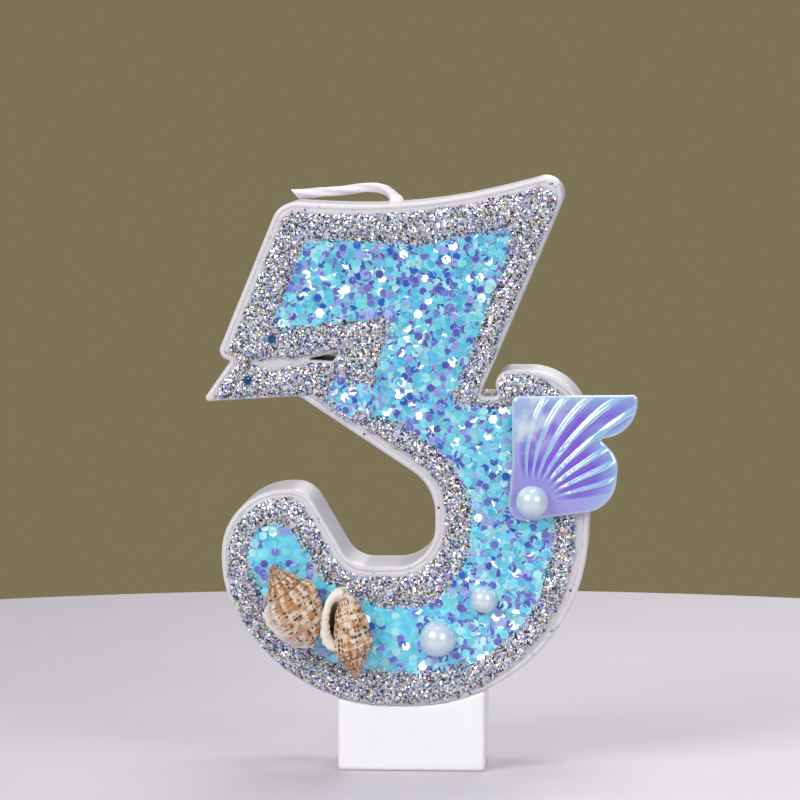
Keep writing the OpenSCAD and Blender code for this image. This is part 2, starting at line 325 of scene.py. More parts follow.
@dataclass
class Plate:
    """A flat casting: an outline with holes, and a front and a back relief.

    The reliefs take places and give depths along Y.
    """

    loops: list[Array]
    front: Callable[[Array], Array]
    back: Callable[[Array], Array]
    rings: tuple[float, ...] = ()
    grid: float = 1.5 * MM
    lines: list[Array] = field(default_factory=list)
    wall_steps: int = 1

    def build(self) -> Mesh:
        """The closed mesh: a front, a back and the walls between them."""
        low = self.loops[0].min(0)
        high = self.loops[0].max(0)
        across = np.arange(low[0], high[0], self.grid)
        up = np.arange(low[1], high[1], self.grid * 0.87)
        lattice = np.array([[x + (j % 2) * self.grid / 2, z] for j, z in enumerate(up) for x in across])
        rings = []
        for width in self.rings:
            for i, loop in enumerate(self.loops):
                ring = inset(loop, width, i == 0)
                rings.append(ring[within(self.loops, ring) & (distance_to(self.loops, ring) > width * 0.97)])
        rings = [r for r in rings if len(r)]
        fence = [*self.loops, *self.lines, *rings]
        clear = within(self.loops, lattice) & (distance_to(fence, lattice) > self.grid * 0.45)
        extra = np.vstack([*rings, lattice[clear]]) if rings else lattice[clear]
        flat, tris = tidy_triangles(self.loops, extra, self.lines)
        count = len(flat)
        front = np.column_stack([flat[:, 0], self.front(flat), flat[:, 1]])
        back = np.column_stack([flat[:, 0], self.back(flat), flat[:, 1]])
        faces = [tuple(t) for t in tris] + [(c + count, b + count, a + count) for a, b, c in tris]
        points = [front, back]
        total = 2 * count
        edges: dict[tuple[int, int], int] = {}
        for t in tris:
            for a, b in ((t[0], t[1]), (t[1], t[2]), (t[2], t[0])):
                edges[(int(a), int(b))] = 1
        rim = [(a, b) for a, b in edges if (b, a) not in edges]
        ring_of = {a: i for i, a in enumerate(sorted({a for a, _ in rim}))}
        order = sorted(ring_of)
        levels = [order]
        for step in range(1, self.wall_steps):
            share = step / self.wall_steps
            points.append(front[order] * (1 - share) + back[order] * share)
            levels.append([total + i for i in range(len(order))])
            total += len(order)
        levels.append([i + count for i in order])
        for upper, lower in zip(levels, levels[1:]):
            for a, b in rim:
                i, j = ring_of[a], ring_of[b]
                faces.append((upper[j], upper[i], lower[i], lower[j]))
        return Mesh(np.vstack(points), faces)


def grid_faces(rows: int, columns: int, first: int = 0) -> list[tuple[int, ...]]:
    """Faces of a tube of rings, each joined to the next and closed round."""
    return [
        (
            first + r * columns + c,
            first + r * columns + (c + 1) % columns,
            first + (r + 1) * columns + (c + 1) % columns,
            first + (r + 1) * columns + c,
        )
        for r in range(rows - 1)
        for c in range(columns)
    ]


def capped_tube(rings: Array, values: dict[str, Array] | None = None) -> Mesh:
    """A closed tube through rings of points, with a fan of faces at each end.

    Args:
        rings: rings by points by three.
        values: values for each point of each ring.
    """
    rows, columns = rings.shape[:2]
    ends = np.array([rings[0].mean(0), rings[-1].mean(0)])
    points = np.vstack([rings.reshape(-1, 3), ends])
    faces = grid_faces(rows, columns)
    last = (rows - 1) * columns
    head, tail = rows * columns, rows * columns + 1
    for c in range(columns):
        faces.append((head, (c + 1) % columns, c))
        faces.append((tail, last + c, last + (c + 1) % columns))
    kept = {}
    for key, value in (values or {}).items():
        kept[key] = np.concatenate([value.ravel(), [value[0].mean(), value[-1].mean()]])
    return Mesh(points, faces, kept)


def turned_solid(profile: Sequence[tuple[float, float]], segments: int = 48) -> Array:
    """Rings of a solid of revolution round the Y axis, from (radius, depth) pairs."""
    angle = np.arange(segments) * 2 * math.pi / segments
    return np.array([[(r * math.cos(a), y, r * math.sin(a)) for a in angle] for r, y in profile])


# --------------------------------------------------------------- materials


class Bench:
    """A node tree being wired: adds nodes and joins them."""

    def __init__(self, tree: bpy.types.NodeTree) -> None:
        """Takes the tree to wire."""
        self.tree = tree

    def add(self, kind: str, sockets: dict | None = None, **settings: object) -> bpy.types.Node:
        """Adds a node.

        Args:
            kind: the node's type.
            sockets: input names or numbers with a value or a socket to join.
            settings: the node's own properties.

        Returns:
            The new node.
        """
        node = self.tree.nodes.new(kind)
        for key, value in settings.items():
            setattr(node, key, value)
        for key, value in (sockets or {}).items():
            self.feed(node.inputs[key], value)
        return node

    def feed(self, socket: Socket, value: Feed) -> None:
        """Sets a socket, or joins it where the value is another socket."""
        if isinstance(value, Socket):
            self.tree.links.new(value, socket)
        elif socket.type == "RGBA":
            socket.default_value = (*value, 1.0)
        else:
            socket.default_value = value

    def maths(self, operation: str, a: Feed, b: Feed = 0.0, clamp: bool = False) -> Socket:
        """The result of a Math node on two values or sockets."""
        node = self.add("ShaderNodeMath", {0: a, 1: b}, operation=operation, use_clamp=clamp)
        return node.outputs[0]

    def vector(self, operation: str, sockets: dict) -> Socket:
        """The result of a Vector Math node."""
        return self.add("ShaderNodeVectorMath", sockets, operation=operation).outputs[0]

    def mix(self, share: Feed, a: Feed, b: Feed, blend: str = "MIX") -> Socket:
        """A colour between two, by a share from 0 to 1."""
        node = self.add("ShaderNodeMix", {0: share, 6: a, 7: b}, data_type="RGBA", blend_type=blend)
        return node.outputs[2]

    def ramp(self, value: Feed, stops: Sequence[tuple[float, Colour]]) -> Socket:
        """A colour from a smooth ramp of (place, colour) stops."""
        node = self.add("ShaderNodeValToRGB", {0: value})
        node.color_ramp.interpolation = "EASE"
        elements = node.color_ramp.elements
        for _ in range(len(stops) - 2):
            elements.new(0.5)
        for element, (place, colour) in zip(elements, stops):
            element.position = place
            element.color = (*colour, 1.0)
        return node.outputs[0]

    def scaled(self, value: Feed, low: float, high: float, to_low: float, to_high: float) -> Socket:
        """A value carried from one range to another and held inside it."""
        node = self.add(
            "ShaderNodeMapRange",
            {"Value": value, "From Min": low, "From Max": high, "To Min": to_low, "To Max": to_high},
        )
        return node.outputs[0]

    def place(self) -> Socket:
        """Places on the object, in metres."""
        return self.add("ShaderNodeTexCoord").outputs["Object"]

    def noise(self, size: float, detail: float = 2.0) -> Socket:
        """Soft noise with features of a size in metres."""
        sockets = {"Vector": self.place(), "Scale": 1 / size, "Detail": detail}
        return self.add("ShaderNodeTexNoise", sockets).outputs[0]

    def carried(self, name: str, output: str = "Fac") -> Socket:
        """A value or colour that the mesh carries."""
        return self.add("ShaderNodeAttribute", attribute_name=name).outputs[output]

    def group(self, make: Callable[[str], None], name: str, sockets: dict) -> bpy.types.Node:
        """A shared group's node, with the group made the first time that it is asked for."""
        if name not in bpy.data.node_groups:
            make(name)
        return self.add("ShaderNodeGroup", sockets, node_tree=bpy.data.node_groups[name])


def new_group(
    name: str, ins: dict[str, tuple], outs: dict[str, str]
) -> tuple[Bench, bpy.types.Node, bpy.types.Node]:
    """Starts a shader node group.

    Args:
        name: the group's name.
        ins: input names with (socket type, value).
        outs: output names with a socket type.

    Returns:
        The bench, the group's input node and its output node.
    """
    tree = bpy.data.node_groups.new(name, "ShaderNodeTree")
    for key, (kind, value) in ins.items():
        start = (*value, 1.0) if isinstance(value, tuple) else value
        tree.interface.new_socket(key, in_out="INPUT", socket_type=kind).default_value = start
    for key, kind in outs.items():
        tree.interface.new_socket(key, in_out="OUTPUT", socket_type=kind)
    bench = Bench(tree)
    return bench, bench.add("NodeGroupInput"), bench.add("NodeGroupOutput")


def make_cast_skin(name: str) -> None:
    """Group: the faint mottle and pores of a cast wax or lacquer skin."""
    value, colour = "NodeSocketFloat", "NodeSocketColor"
    bench, given, result = new_group(
        name,
        {
            "Colour": (colour, (1.0, 1.0, 1.0)),
            "Shade": (colour, (0.8, 0.8, 0.85)),
            "Mottle Size": (value, 3 * MM),
            "Pore Size": (value, 0.3 * MM),
            "Roughness": (value, 0.4),
        },
        {"Colour": colour, "Roughness": value, "Height": value},
    )
    place = bench.place()
    broad = bench.add("ShaderNodeTexNoise", {"Vector": place, "Detail": 3.0})
    bench.feed(broad.inputs["Scale"], bench.maths("DIVIDE", 1.0, given.outputs["Mottle Size"]))
    fine = bench.add("ShaderNodeTexNoise", {"Vector": place, "Detail": 4.0})
    bench.feed(fine.inputs["Scale"], bench.maths("DIVIDE", 1.0, given.outputs["Pore Size"]))
    patch = bench.scaled(broad.outputs[0], 0.35, 0.7, 0.0, 1.0)
    bench.feed(result.inputs["Colour"], bench.mix(patch, given.outputs["Colour"], given.outputs["Shade"]))
    change = bench.scaled(fine.outputs[0], 0.3, 0.7, -0.08, 0.1)
    rough = bench.maths("ADD", given.outputs["Roughness"], change, clamp=True)
    bench.feed(result.inputs["Roughness"], rough)
    height = bench.maths("ADD", bench.maths("MULTIPLY", broad.outputs[0], 0.6), fine.outputs[0])
    bench.feed(result.inputs["Height"], height)


def make_flake_field(name: str) -> None:
    """Group: a bed of tiny flat flakes, each with its own tilt and tint."""
    value, colour, vector = "NodeSocketFloat", "NodeSocketColor", "NodeSocketVector"
    bench, given, result = new_group(
        name,
        {"Flake Size": (value, 0.3 * MM), "Tilt": (value, 0.6), "Tint": (value, 0.3)},
        {"Colour": colour, "Glint": value, "Normal": vector},
    )
    cells = bench.add("ShaderNodeTexVoronoi", {"Vector": bench.place()})
    bench.feed(cells.inputs["Scale"], bench.maths("DIVIDE", 1.0, given.outputs["Flake Size"]))
    centred = bench.vector("SUBTRACT", {0: cells.outputs["Color"], 1: (0.5, 0.5, 0.5)})
    lean = bench.vector("SCALE", {0: centred, "Scale": given.outputs["Tilt"]})
    surface = bench.add("ShaderNodeNewGeometry").outputs["Normal"]
    bent = bench.vector("ADD", {0: surface, 1: lean})
    bench.feed(result.inputs["Normal"], bench.vector("NORMALIZE", {0: bent}))
    parts = bench.add("ShaderNodeSeparateColor", {0: cells.outputs["Color"]})
    bright = bench.scaled(parts.outputs[0], 0.0, 1.0, 0.12, 1.0)
    grey = bench.add("ShaderNodeCombineColor", {0: bright, 1: bright, 2: bright}).outputs[0]
    hue = bench.add("ShaderNodeCombineColor", {0: parts.outputs[1], 1: 0.55, 2: bright}, mode="HSV")
    bench.feed(result.inputs["Colour"], bench.mix(given.outputs["Tint"], grey, hue.outputs[0]))
    bench.feed(result.inputs["Glint"], parts.outputs[2])


@dataclass(frozen=True)
class Finish:
    """What every finish has: a name and a surface with plain gloss values."""

    name: str
    roughness: float = 0.4
    coat: float = 0.0
    coat_roughness: float = 0.03

    def surface(self) -> tuple[bpy.types.Material, Bench, bpy.types.Node]:
        """A new material, its bench and its Principled shader."""
        material = bpy.data.materials.new(self.name)
        material.use_nodes = True
        bench = Bench(material.node_tree)
        shader = next(n for n in material.node_tree.nodes if n.type == "BSDF_PRINCIPLED")
        shader.inputs["Roughness"].default_value = self.roughness
        shader.inputs["Coat Weight"].default_value = self.coat
        shader.inputs["Coat Roughness"].default_value = self.coat_roughness
        return material, bench, shader

    @staticmethod
    def bump(bench: Bench, shader: bpy.types.Node, height: Socket, depth: float, strength: float) -> None:
        """Feeds a height in metres through a Bump node into the shader."""
        node = bench.add("ShaderNodeBump", {"Height": height, "Strength": strength, "Distance": depth})
        bench.feed(shader.inputs["Normal"], node.outputs[0])

    @staticmethod
    def soak(shader: bpy.types.Node, weight: float, depth: float) -> None:
        """Lets a share of the light into the surface, to a depth in metres."""
        shader.inputs["Subsurface Weight"].default_value = weight
        shader.inputs["Subsurface Scale"].default_value = depth

    def cast_skin(self, bench: Bench, shader: bpy.types.Node, sockets: dict) -> bpy.types.Node:
        """Puts the cast skin under a shader's colour and roughness.

        Args:
            bench: the material's bench.
            shader: its Principled shader.
            sockets: the group's inputs, apart from the roughness.

        Returns:
            The group's node.
        """
        skin = bench.group(make_cast_skin, "Cast Skin", {**sockets, "Roughness": self.roughness})
        bench.feed(shader.inputs["Base Color"], skin.outputs["Colour"])
        bench.feed(shader.inputs["Roughness"], skin.outputs["Roughness"])
        return skin


@dataclass(frozen=True)
class CastWax(Finish):
    """White candle wax: milky, slightly see-through, with a satin skin."""

    colour: Colour = (0.70, 0.68, 0.71)
    shade: Colour = (0.665, 0.645, 0.68)
    scatter: float = 0.6
    depth: float = 1.6 * MM

    def build(self) -> bpy.types.Material:
        """The wax material."""
        material, bench, shader = self.surface()
        skin = self.cast_skin(bench, shader, {"Colour": self.colour, "Shade": self.shade})
        self.bump(bench, shader, skin.outputs["Height"], 0.03 * MM, 0.5)
        self.soak(shader, self.scatter, self.depth)
        shader.inputs["Subsurface Radius"].default_value = (1.0, 0.85, 0.8)
        return material


@dataclass(frozen=True)
class FlakeBed(Finish):
    """The glue under the loose flakes, itself full of flakes."""

    flake: float = 0.28 * MM
    tilt: float = 1.1
    tint: float = 0.25

    def build(self) -> bpy.types.Material:
        """The glitter bed's material."""
        material, bench, shader = self.surface()
        flakes = {"Flake Size": self.flake, "Tilt": self.tilt, "Tint": self.tint}
        bed = bench.group(make_flake_field, "Flake Field", flakes)
        bench.feed(shader.inputs["Base Color"], bed.outputs["Colour"])
        bench.feed(shader.inputs["Normal"], bed.outputs["Normal"])
        shader.inputs["Metallic"].default_value = 0.9
        return material


@dataclass(frozen=True)
class Foil(Finish):
    """Metallised film that takes its colour from the piece, with a painted glint where the piece carries one:
    emission in that colour.
    """

    metal: float = 1.0
    painted_glint: float = 0.0

    def build(self) -> bpy.types.Material:
        """The foil material."""
        material, bench, shader = self.surface()
        colour = bench.carried("tint", "Color")
        drift = bench.scaled(bench.noise(0.5 * MM), 0.3, 0.7, 0.85, 1.1)
        shade = bench.vector("SCALE", {0: colour, "Scale": drift})
        bench.feed(shader.inputs["Base Color"], shade)
        shader.inputs["Metallic"].default_value = self.metal
        # painted glint: the film glows in its own colour, though it is no lamp
        if self.painted_glint:
            strength = bench.maths("MULTIPLY", bench.carried("painted_glint"), self.painted_glint)
            bench.feed(shader.inputs["Emission Color"], shade)
            bench.feed(shader.inputs["Emission Strength"], strength)
        return material


@dataclass(frozen=True)
class Gel(Finish):
    """Clear blue gel over sunken sequins."""

    deep: Colour = (0.07, 0.56, 0.82)
    pale: Colour = (0.26, 0.86, 0.97)
    sunken: float = 0.8 * MM

    def build(self) -> bpy.types.Material:
        """The gel material."""
        material, bench, shader = self.surface()
        cloud = bench.scaled(bench.noise(2.2 * MM, 3.0), 0.35, 0.65, 0.0, 1.0)
        water = bench.mix(cloud, self.deep, self.pale)
        flakes = {"Flake Size": self.sunken, "Tilt": 0.25, "Tint": 0.6}
        bed = bench.group(make_flake_field, "Flake Field", flakes)
        sunken = bench.mix(0.28, water, bed.outputs["Colour"], "OVERLAY")
        bench.feed(shader.inputs["Base Color"], sunken)
        self.bump(bench, shader, bench.noise(1.2 * MM), 0.12 * MM, 0.6)
        self.soak(shader, 0.25, 0.8 * MM)
        shader.inputs["Subsurface Radius"].default_value = (0.4, 1.0, 1.2)
        return material


@dataclass(frozen=True)
class FanPearl(Finish):
    """Iridescent moulded plastic with violet and aqua bands along the ribs, painted white highlight streaks
    on them and a painted whitish reflection patch on the last ribs.
    """

    violet: Colour = (0.24, 0.13, 0.76)
    lilac: Colour = (0.37, 0.35, 0.79)
    aqua: Colour = (0.33, 0.60, 0.84)
    # white: the colour of the painted highlight streaks, the painted reflection patch and the pale rim
    white: Colour = (0.78, 0.89, 0.96)

    def build(self) -> bpy.types.Material:
        """The fan shell's material."""
        material, bench, shader = self.surface()
        ribbed = bench.carried("ribbed")
        waver = bench.maths("MULTIPLY", bench.maths("SUBTRACT", bench.noise(1.6 * MM, 3.0), 0.5), 0.22)
        rib = bench.maths("FRACT", bench.maths("ADD", bench.carried("ribs_across"), waver))
        stripes = bench.ramp(
            rib,
            [
                (0.0, self.violet),
                (0.32, self.violet),
                (0.43, self.lilac),
                (0.5, self.aqua),
                (0.72, self.aqua),
                (0.8, self.violet),
            ],
        )
        colour = bench.mix(ribbed, self.lilac, stripes)
        outer = bench.maths("MULTIPLY", bench.carried("outer"), 0.8)
        colour = bench.mix(outer, colour, self.aqua)
        # painted reflection: a whitish patch, broken up by noise, over the last ribs where the mesh carries
        # pale
        patch = bench.scaled(bench.noise(2.6 * MM, 2.0), 0.40, 0.60, 0.1, 0.85)
        colour = bench.mix(bench.maths("MULTIPLY", bench.carried("pale"), patch), colour, self.white)
        # painted highlight: thin broken white streaks along the ribs, added to the pale rim and mixed toward
        # white
        broken = bench.scaled(bench.noise(1.4 * MM), 0.35, 0.6, 0.15, 0.9)
        painted_highlight_streak = bench.maths("MULTIPLY", bench.maths("MULTIPLY", self.line(bench, rib, 0.42), ribbed), broken)
        bright = bench.maths("ADD", painted_highlight_streak, bench.maths("MULTIPLY", bench.carried("rim"), 0.7), clamp=True)
        bench.feed(shader.inputs["Base Color"], bench.mix(bright, colour, self.white))
        shader.inputs["Metallic"].default_value = 0.15
        return material

    @staticmethod
    def line(bench: Bench, across: Socket, middle: float, width: float = 0.05) -> Socket:
        """A thin line at one place across each rib, 1 at its middle."""
        off = bench.maths("ABSOLUTE", bench.maths("SUBTRACT", across, middle))
        return bench.scaled(off, 0.3 * width, width, 1.0, 0.0)


@dataclass(frozen=True)
class PearlLacquer(Finish):
    """White pearl lacquer with a painted sheen: a faint rainbow from the dome's front to its rim, set by the
    way the surface faces.
    """

    painted_facing_sheen: tuple[Colour, ...] = (
        (0.68, 0.80, 0.88),
        (0.60, 0.72, 0.84),
        (0.70, 0.70, 0.82),
        (0.52, 0.74, 0.86),
    )
    shade: Colour = (0.66, 0.78, 0.86)

    def build(self) -> bpy.types.Material:
        """The half pearls' material."""
        material, bench, shader = self.surface()
        # painted sheen: the colour follows the surface's facing, from front to rim
        normal = bench.add("ShaderNodeTexCoord").outputs["Normal"]
        backwards = bench.add("ShaderNodeSeparateXYZ", {0: normal}).outputs[1]
        places = (0.0, 0.45, 0.75, 1.0)
        painted_facing_sheen = bench.ramp(bench.scaled(backwards, -1.0, 0.1, 0.0, 1.0), list(zip(places, self.painted_facing_sheen)))
        self.cast_skin(bench, shader, {"Colour": painted_facing_sheen, "Shade": self.shade, "Mottle Size": 1.5 * MM})
        shader.inputs["Metallic"].default_value = 0.15
        self.soak(shader, 0.08, 0.4 * MM)
        return material


@dataclass(frozen=True)
class SnailShell(Finish):
    """Natural shell: cream, brown spots in rows, worn and banded, with painted shade in the sutures and
    inside the mouth.
    """

    cream: Colour = (0.78, 0.64, 0.50)
    amber: Colour = (0.49, 0.20, 0.045)
    spot: Colour = (0.055, 0.025, 0.015)
    mouth: Colour = (0.085, 0.075, 0.045)
    lip: Colour = (0.88, 0.82, 0.74)
    painted_suture_shade: Colour = (0.13, 0.06, 0.03)
    thread: Colour = (0.16, 0.075, 0.03)
    spot_turn: float = 30.0
    spot_rows: float = 21.0
    thread_pitch: float = 85.0

    def spots(self, bench: Bench, gap: Socket) -> Socket:
        """Ragged spots in rows along the whorls, most of them between the ribs.

        Args:
            bench: the material's bench.
            gap: above zero between the ribs, below zero on them.
        """
        along = bench.maths("MULTIPLY", bench.carried("turn"), self.spot_turn)
        across = bench.maths("MULTIPLY", bench.carried("across"), self.spot_rows)
        where = bench.add("ShaderNodeCombineXYZ", {0: along, 1: across}).outputs[0]
        cells = bench.add("ShaderNodeTexVoronoi", {"Vector": where, "Scale": 1.0, "Randomness": 0.5})
        ragged = bench.maths("MULTIPLY", bench.maths("SUBTRACT", bench.noise(0.35 * MM), 0.5), 0.5)
        ring = bench.maths("ADD", cells.outputs["Distance"], ragged)
        draw = bench.add("ShaderNodeSeparateColor", {0: cells.outputs["Color"]}).outputs[0]
        chosen = bench.scaled(bench.maths("ADD", draw, gap), 0.36, 0.46, 0.0, 0.95)
        return bench.maths("MULTIPLY", bench.scaled(ring, 0.36, 0.48, 1.0, 0.0), chosen)

    def dashes(self, bench: Bench, across: Socket) -> Socket:
        """Fine broken threads round the whorls, strongest low on each."""
        threads = bench.maths("SINE", bench.maths("MULTIPLY", across, self.thread_pitch))
        broken = bench.scaled(bench.noise(0.55 * MM, 3.0), 0.5, 0.58, 0.0, 1.0)
        dashes = bench.maths("MULTIPLY", bench.scaled(threads, 0.1, 0.7, 0.0, 0.75), broken)
        return bench.maths("MULTIPLY", dashes, bench.scaled(across, 0.35, 0.75, 1.0, 0.15))

    def build(self) -> bpy.types.Material:
        """The snail shells' material."""
        material, bench, shader = self.surface()
        across = bench.carried("across")
        gap = bench.scaled(bench.carried("crest"), 0.3, 0.8, 0.24, -0.14)
        gap = bench.maths("MULTIPLY", gap, bench.scaled(across, 0.5, 0.8, 0.12, 1.0))
        patch = bench.maths("ADD", bench.noise(0.9 * MM, 4.0), gap)
        colour = bench.mix(bench.scaled(patch, 0.43, 0.63, 0.0, 0.95), self.cream, self.amber)
        # painted shade: dark brown at the top of each whorl, in the suture
        colour = bench.mix(bench.scaled(across, 0.90, 0.97, 0.0, 0.9), colour, self.painted_suture_shade)
        colour = bench.mix(self.dashes(bench, across), colour, self.thread)
        colour = bench.mix(self.spots(bench, gap), colour, self.spot)
        colour = bench.mix(bench.carried("lip"), colour, self.lip)
        # painted shade: the inside of the mouth turns dark olive, darker deeper in
        colour = bench.mix(bench.carried("mouth"), colour, self.mouth)
        bench.feed(shader.inputs["Base Color"], colour)
        lines = bench.maths("SINE", bench.maths("MULTIPLY", across, 180.0))
        grain = bench.maths("ADD", bench.maths("MULTIPLY", lines, 0.3), bench.noise(0.25 * MM, 4.0))
        self.bump(bench, shader, grain, 0.05 * MM, 0.7)
        self.soak(shader, 0.1, 0.5 * MM)
        return material


@dataclass(frozen=True)
class WaxedCotton(Finish):
    """Braided cotton soaked in wax, with painted shade in the grooves between the strands."""

    strand: Colour = (0.88, 0.86, 0.89)
    # hollow: the painted shade colour for the grooves between strands
    hollow: Colour = (0.62, 0.59, 0.66)

    def build(self) -> bpy.types.Material:
        """The wick's material."""
        material, bench, shader = self.surface()
        groove = bench.carried("groove")
        fibre = bench.scaled(bench.noise(0.25 * MM, 5.0), 0.3, 0.7, 0.0, 0.35)
        # painted shade: darker in the grooves between strands, plus random fibre tone
        shade = bench.maths("ADD", bench.maths("MULTIPLY", groove, 0.65), fibre, clamp=True)
        bench.feed(shader.inputs["Base Color"], bench.mix(shade, self.strand, self.hollow))
        self.bump(bench, shader, bench.noise(0.12 * MM, 4.0), 0.03 * MM, 0.6)
        self.soak(shader, 0.4, 0.5 * MM)
        return material


@dataclass(frozen=True)
class ClearGlue(Finish):
    """Set clear glue, faintly cloudy."""

    colour: Colour = (0.70, 0.80, 0.84)

    def build(self) -> bpy.types.Material:
        """The glue's material."""
        material, bench, shader = self.surface()
        cloud = bench.scaled(bench.noise(0.9 * MM, 3.0), 0.35, 0.7, 0.0, 0.5)
        pale = tuple(0.5 + 0.5 * c for c in self.colour)
        bench.feed(shader.inputs["Base Color"], bench.mix(cloud, self.colour, pale))
        self.bump(bench, shader, bench.noise(0.7 * MM), 0.05 * MM, 0.5)
        self.soak(shader, 0.5, 0.8 * MM)
        return material


# ------------------------------------------------------------------ flakes


@dataclass
class FlakeLot:
    """Thin flat flakes laid on a surface, each a closed prism."""

    thickness: float
    rim: float = 0.0
    sides: int = 6
    rim_share: float = 0.65
    rim_colour: Colour = (0.70, 0.92, 1.0)

    def build(self, places: Array, normals: Array, radii: Array, spins: Array, tints: Array) -> Mesh:
        """One mesh of many flakes, with a paler rim where the lot has one.

        Args:
            places: the flakes' middles.
            normals: the way each faces, of length one.
            radii: middle-to-corner sizes.
            spins: turns about the normals, in radians.
            tints: colours.

        Returns:
            The mesh, which carries each flake's colour as "tint".
        """
        sides = self.sides
        helper = np.where(np.abs(normals[:, 2:3]) < 0.9, [[0.0, 0.0, 1.0]], [[1.0, 0.0, 0.0]])
        first = np.cross(normals, helper)
        first /= np.linalg.norm(first, axis=1, keepdims=True)
        second = np.cross(normals, first)
        levels = [(1.0, 0.5), (1.0, -0.5)] + ([(1 - self.rim, 0.5)] if self.rim else [])
        corners = []
        for reach, level in levels:
            for k in range(sides):
                angle = (spins + 2 * math.pi * k / sides)[:, None]
                arm = (first * np.cos(angle) + second * np.sin(angle)) * reach
                corners.append(places + arm * radii[:, None] + normals * level * self.thickness)
        points = np.stack(corners, 1).reshape(-1, 3)
        top = 2 * sides if self.rim else 0
        unit = [tuple(range(top, top + sides)), tuple(range(2 * sides - 1, sides - 1, -1))]
        unit += [(k, k + sides, (k + 1) % sides + sides, (k + 1) % sides) for k in range(sides)]
        if self.rim:
            unit += [(k, (k + 1) % sides, top + (k + 1) % sides, top + k) for k in range(sides)]
        size = sides * len(levels)
        faces = [tuple(size * n + i for i in face) for n in range(len(places)) for face in unit]
        colours = np.repeat(tints[:, None, :], size, axis=1)
        if self.rim:
            edge = colours[:, : 2 * sides]
            colours[:, : 2 * sides] = (1 - self.rim_share) * edge + self.rim_share * np.array(self.rim_colour)
        return Mesh(points, faces, {}, {"tint": colours.reshape(-1, 3)})


def scattered(mesh: Mesh, count: int, rng: np.random.Generator, facing: float = -0.2) -> tuple[Array, Array]:
    """Even random places on the front of a mesh.

    Args:
        mesh: the surface, whose triangles are used.
        count: how many places.
        rng: source of chance.
        facing: highest Y of the normals that count as the front.

    Returns:
        The places and the surface's normals there.
    """
    tris = np.array([f for f in mesh.faces if len(f) == 3])
    a, b, c = (mesh.points[tris[:, i]] for i in range(3))
    cross = np.cross(b - a, c - a)
    area = np.linalg.norm(cross, axis=1)
    normal = cross / np.maximum(area, 1e-18)[:, None]
    weight = np.where(normal[:, 1] < facing, area, 0)
    pick = rng.choice(len(tris), count, p=weight / weight.sum())
    u, v = rng.random(count), rng.random(count)
    flip = u + v > 1
    u[flip], v[flip] = 1 - u[flip], 1 - v[flip]
    places = a[pick] + (b - a)[pick] * u[:, None] + (c - a)[pick] * v[:, None]
    return places, normal[pick]


def tilted(normals: Array, spread: Array, rng: np.random.Generator) -> Array:
    """Normals, each leaned by its own random amount."""
    lean = normals + rng.normal(size=normals.shape) * spread[:, None]
    return lean / np.linalg.norm(lean, axis=1, keepdims=True)


# ------------------------------------------------------------ sub-assemblies


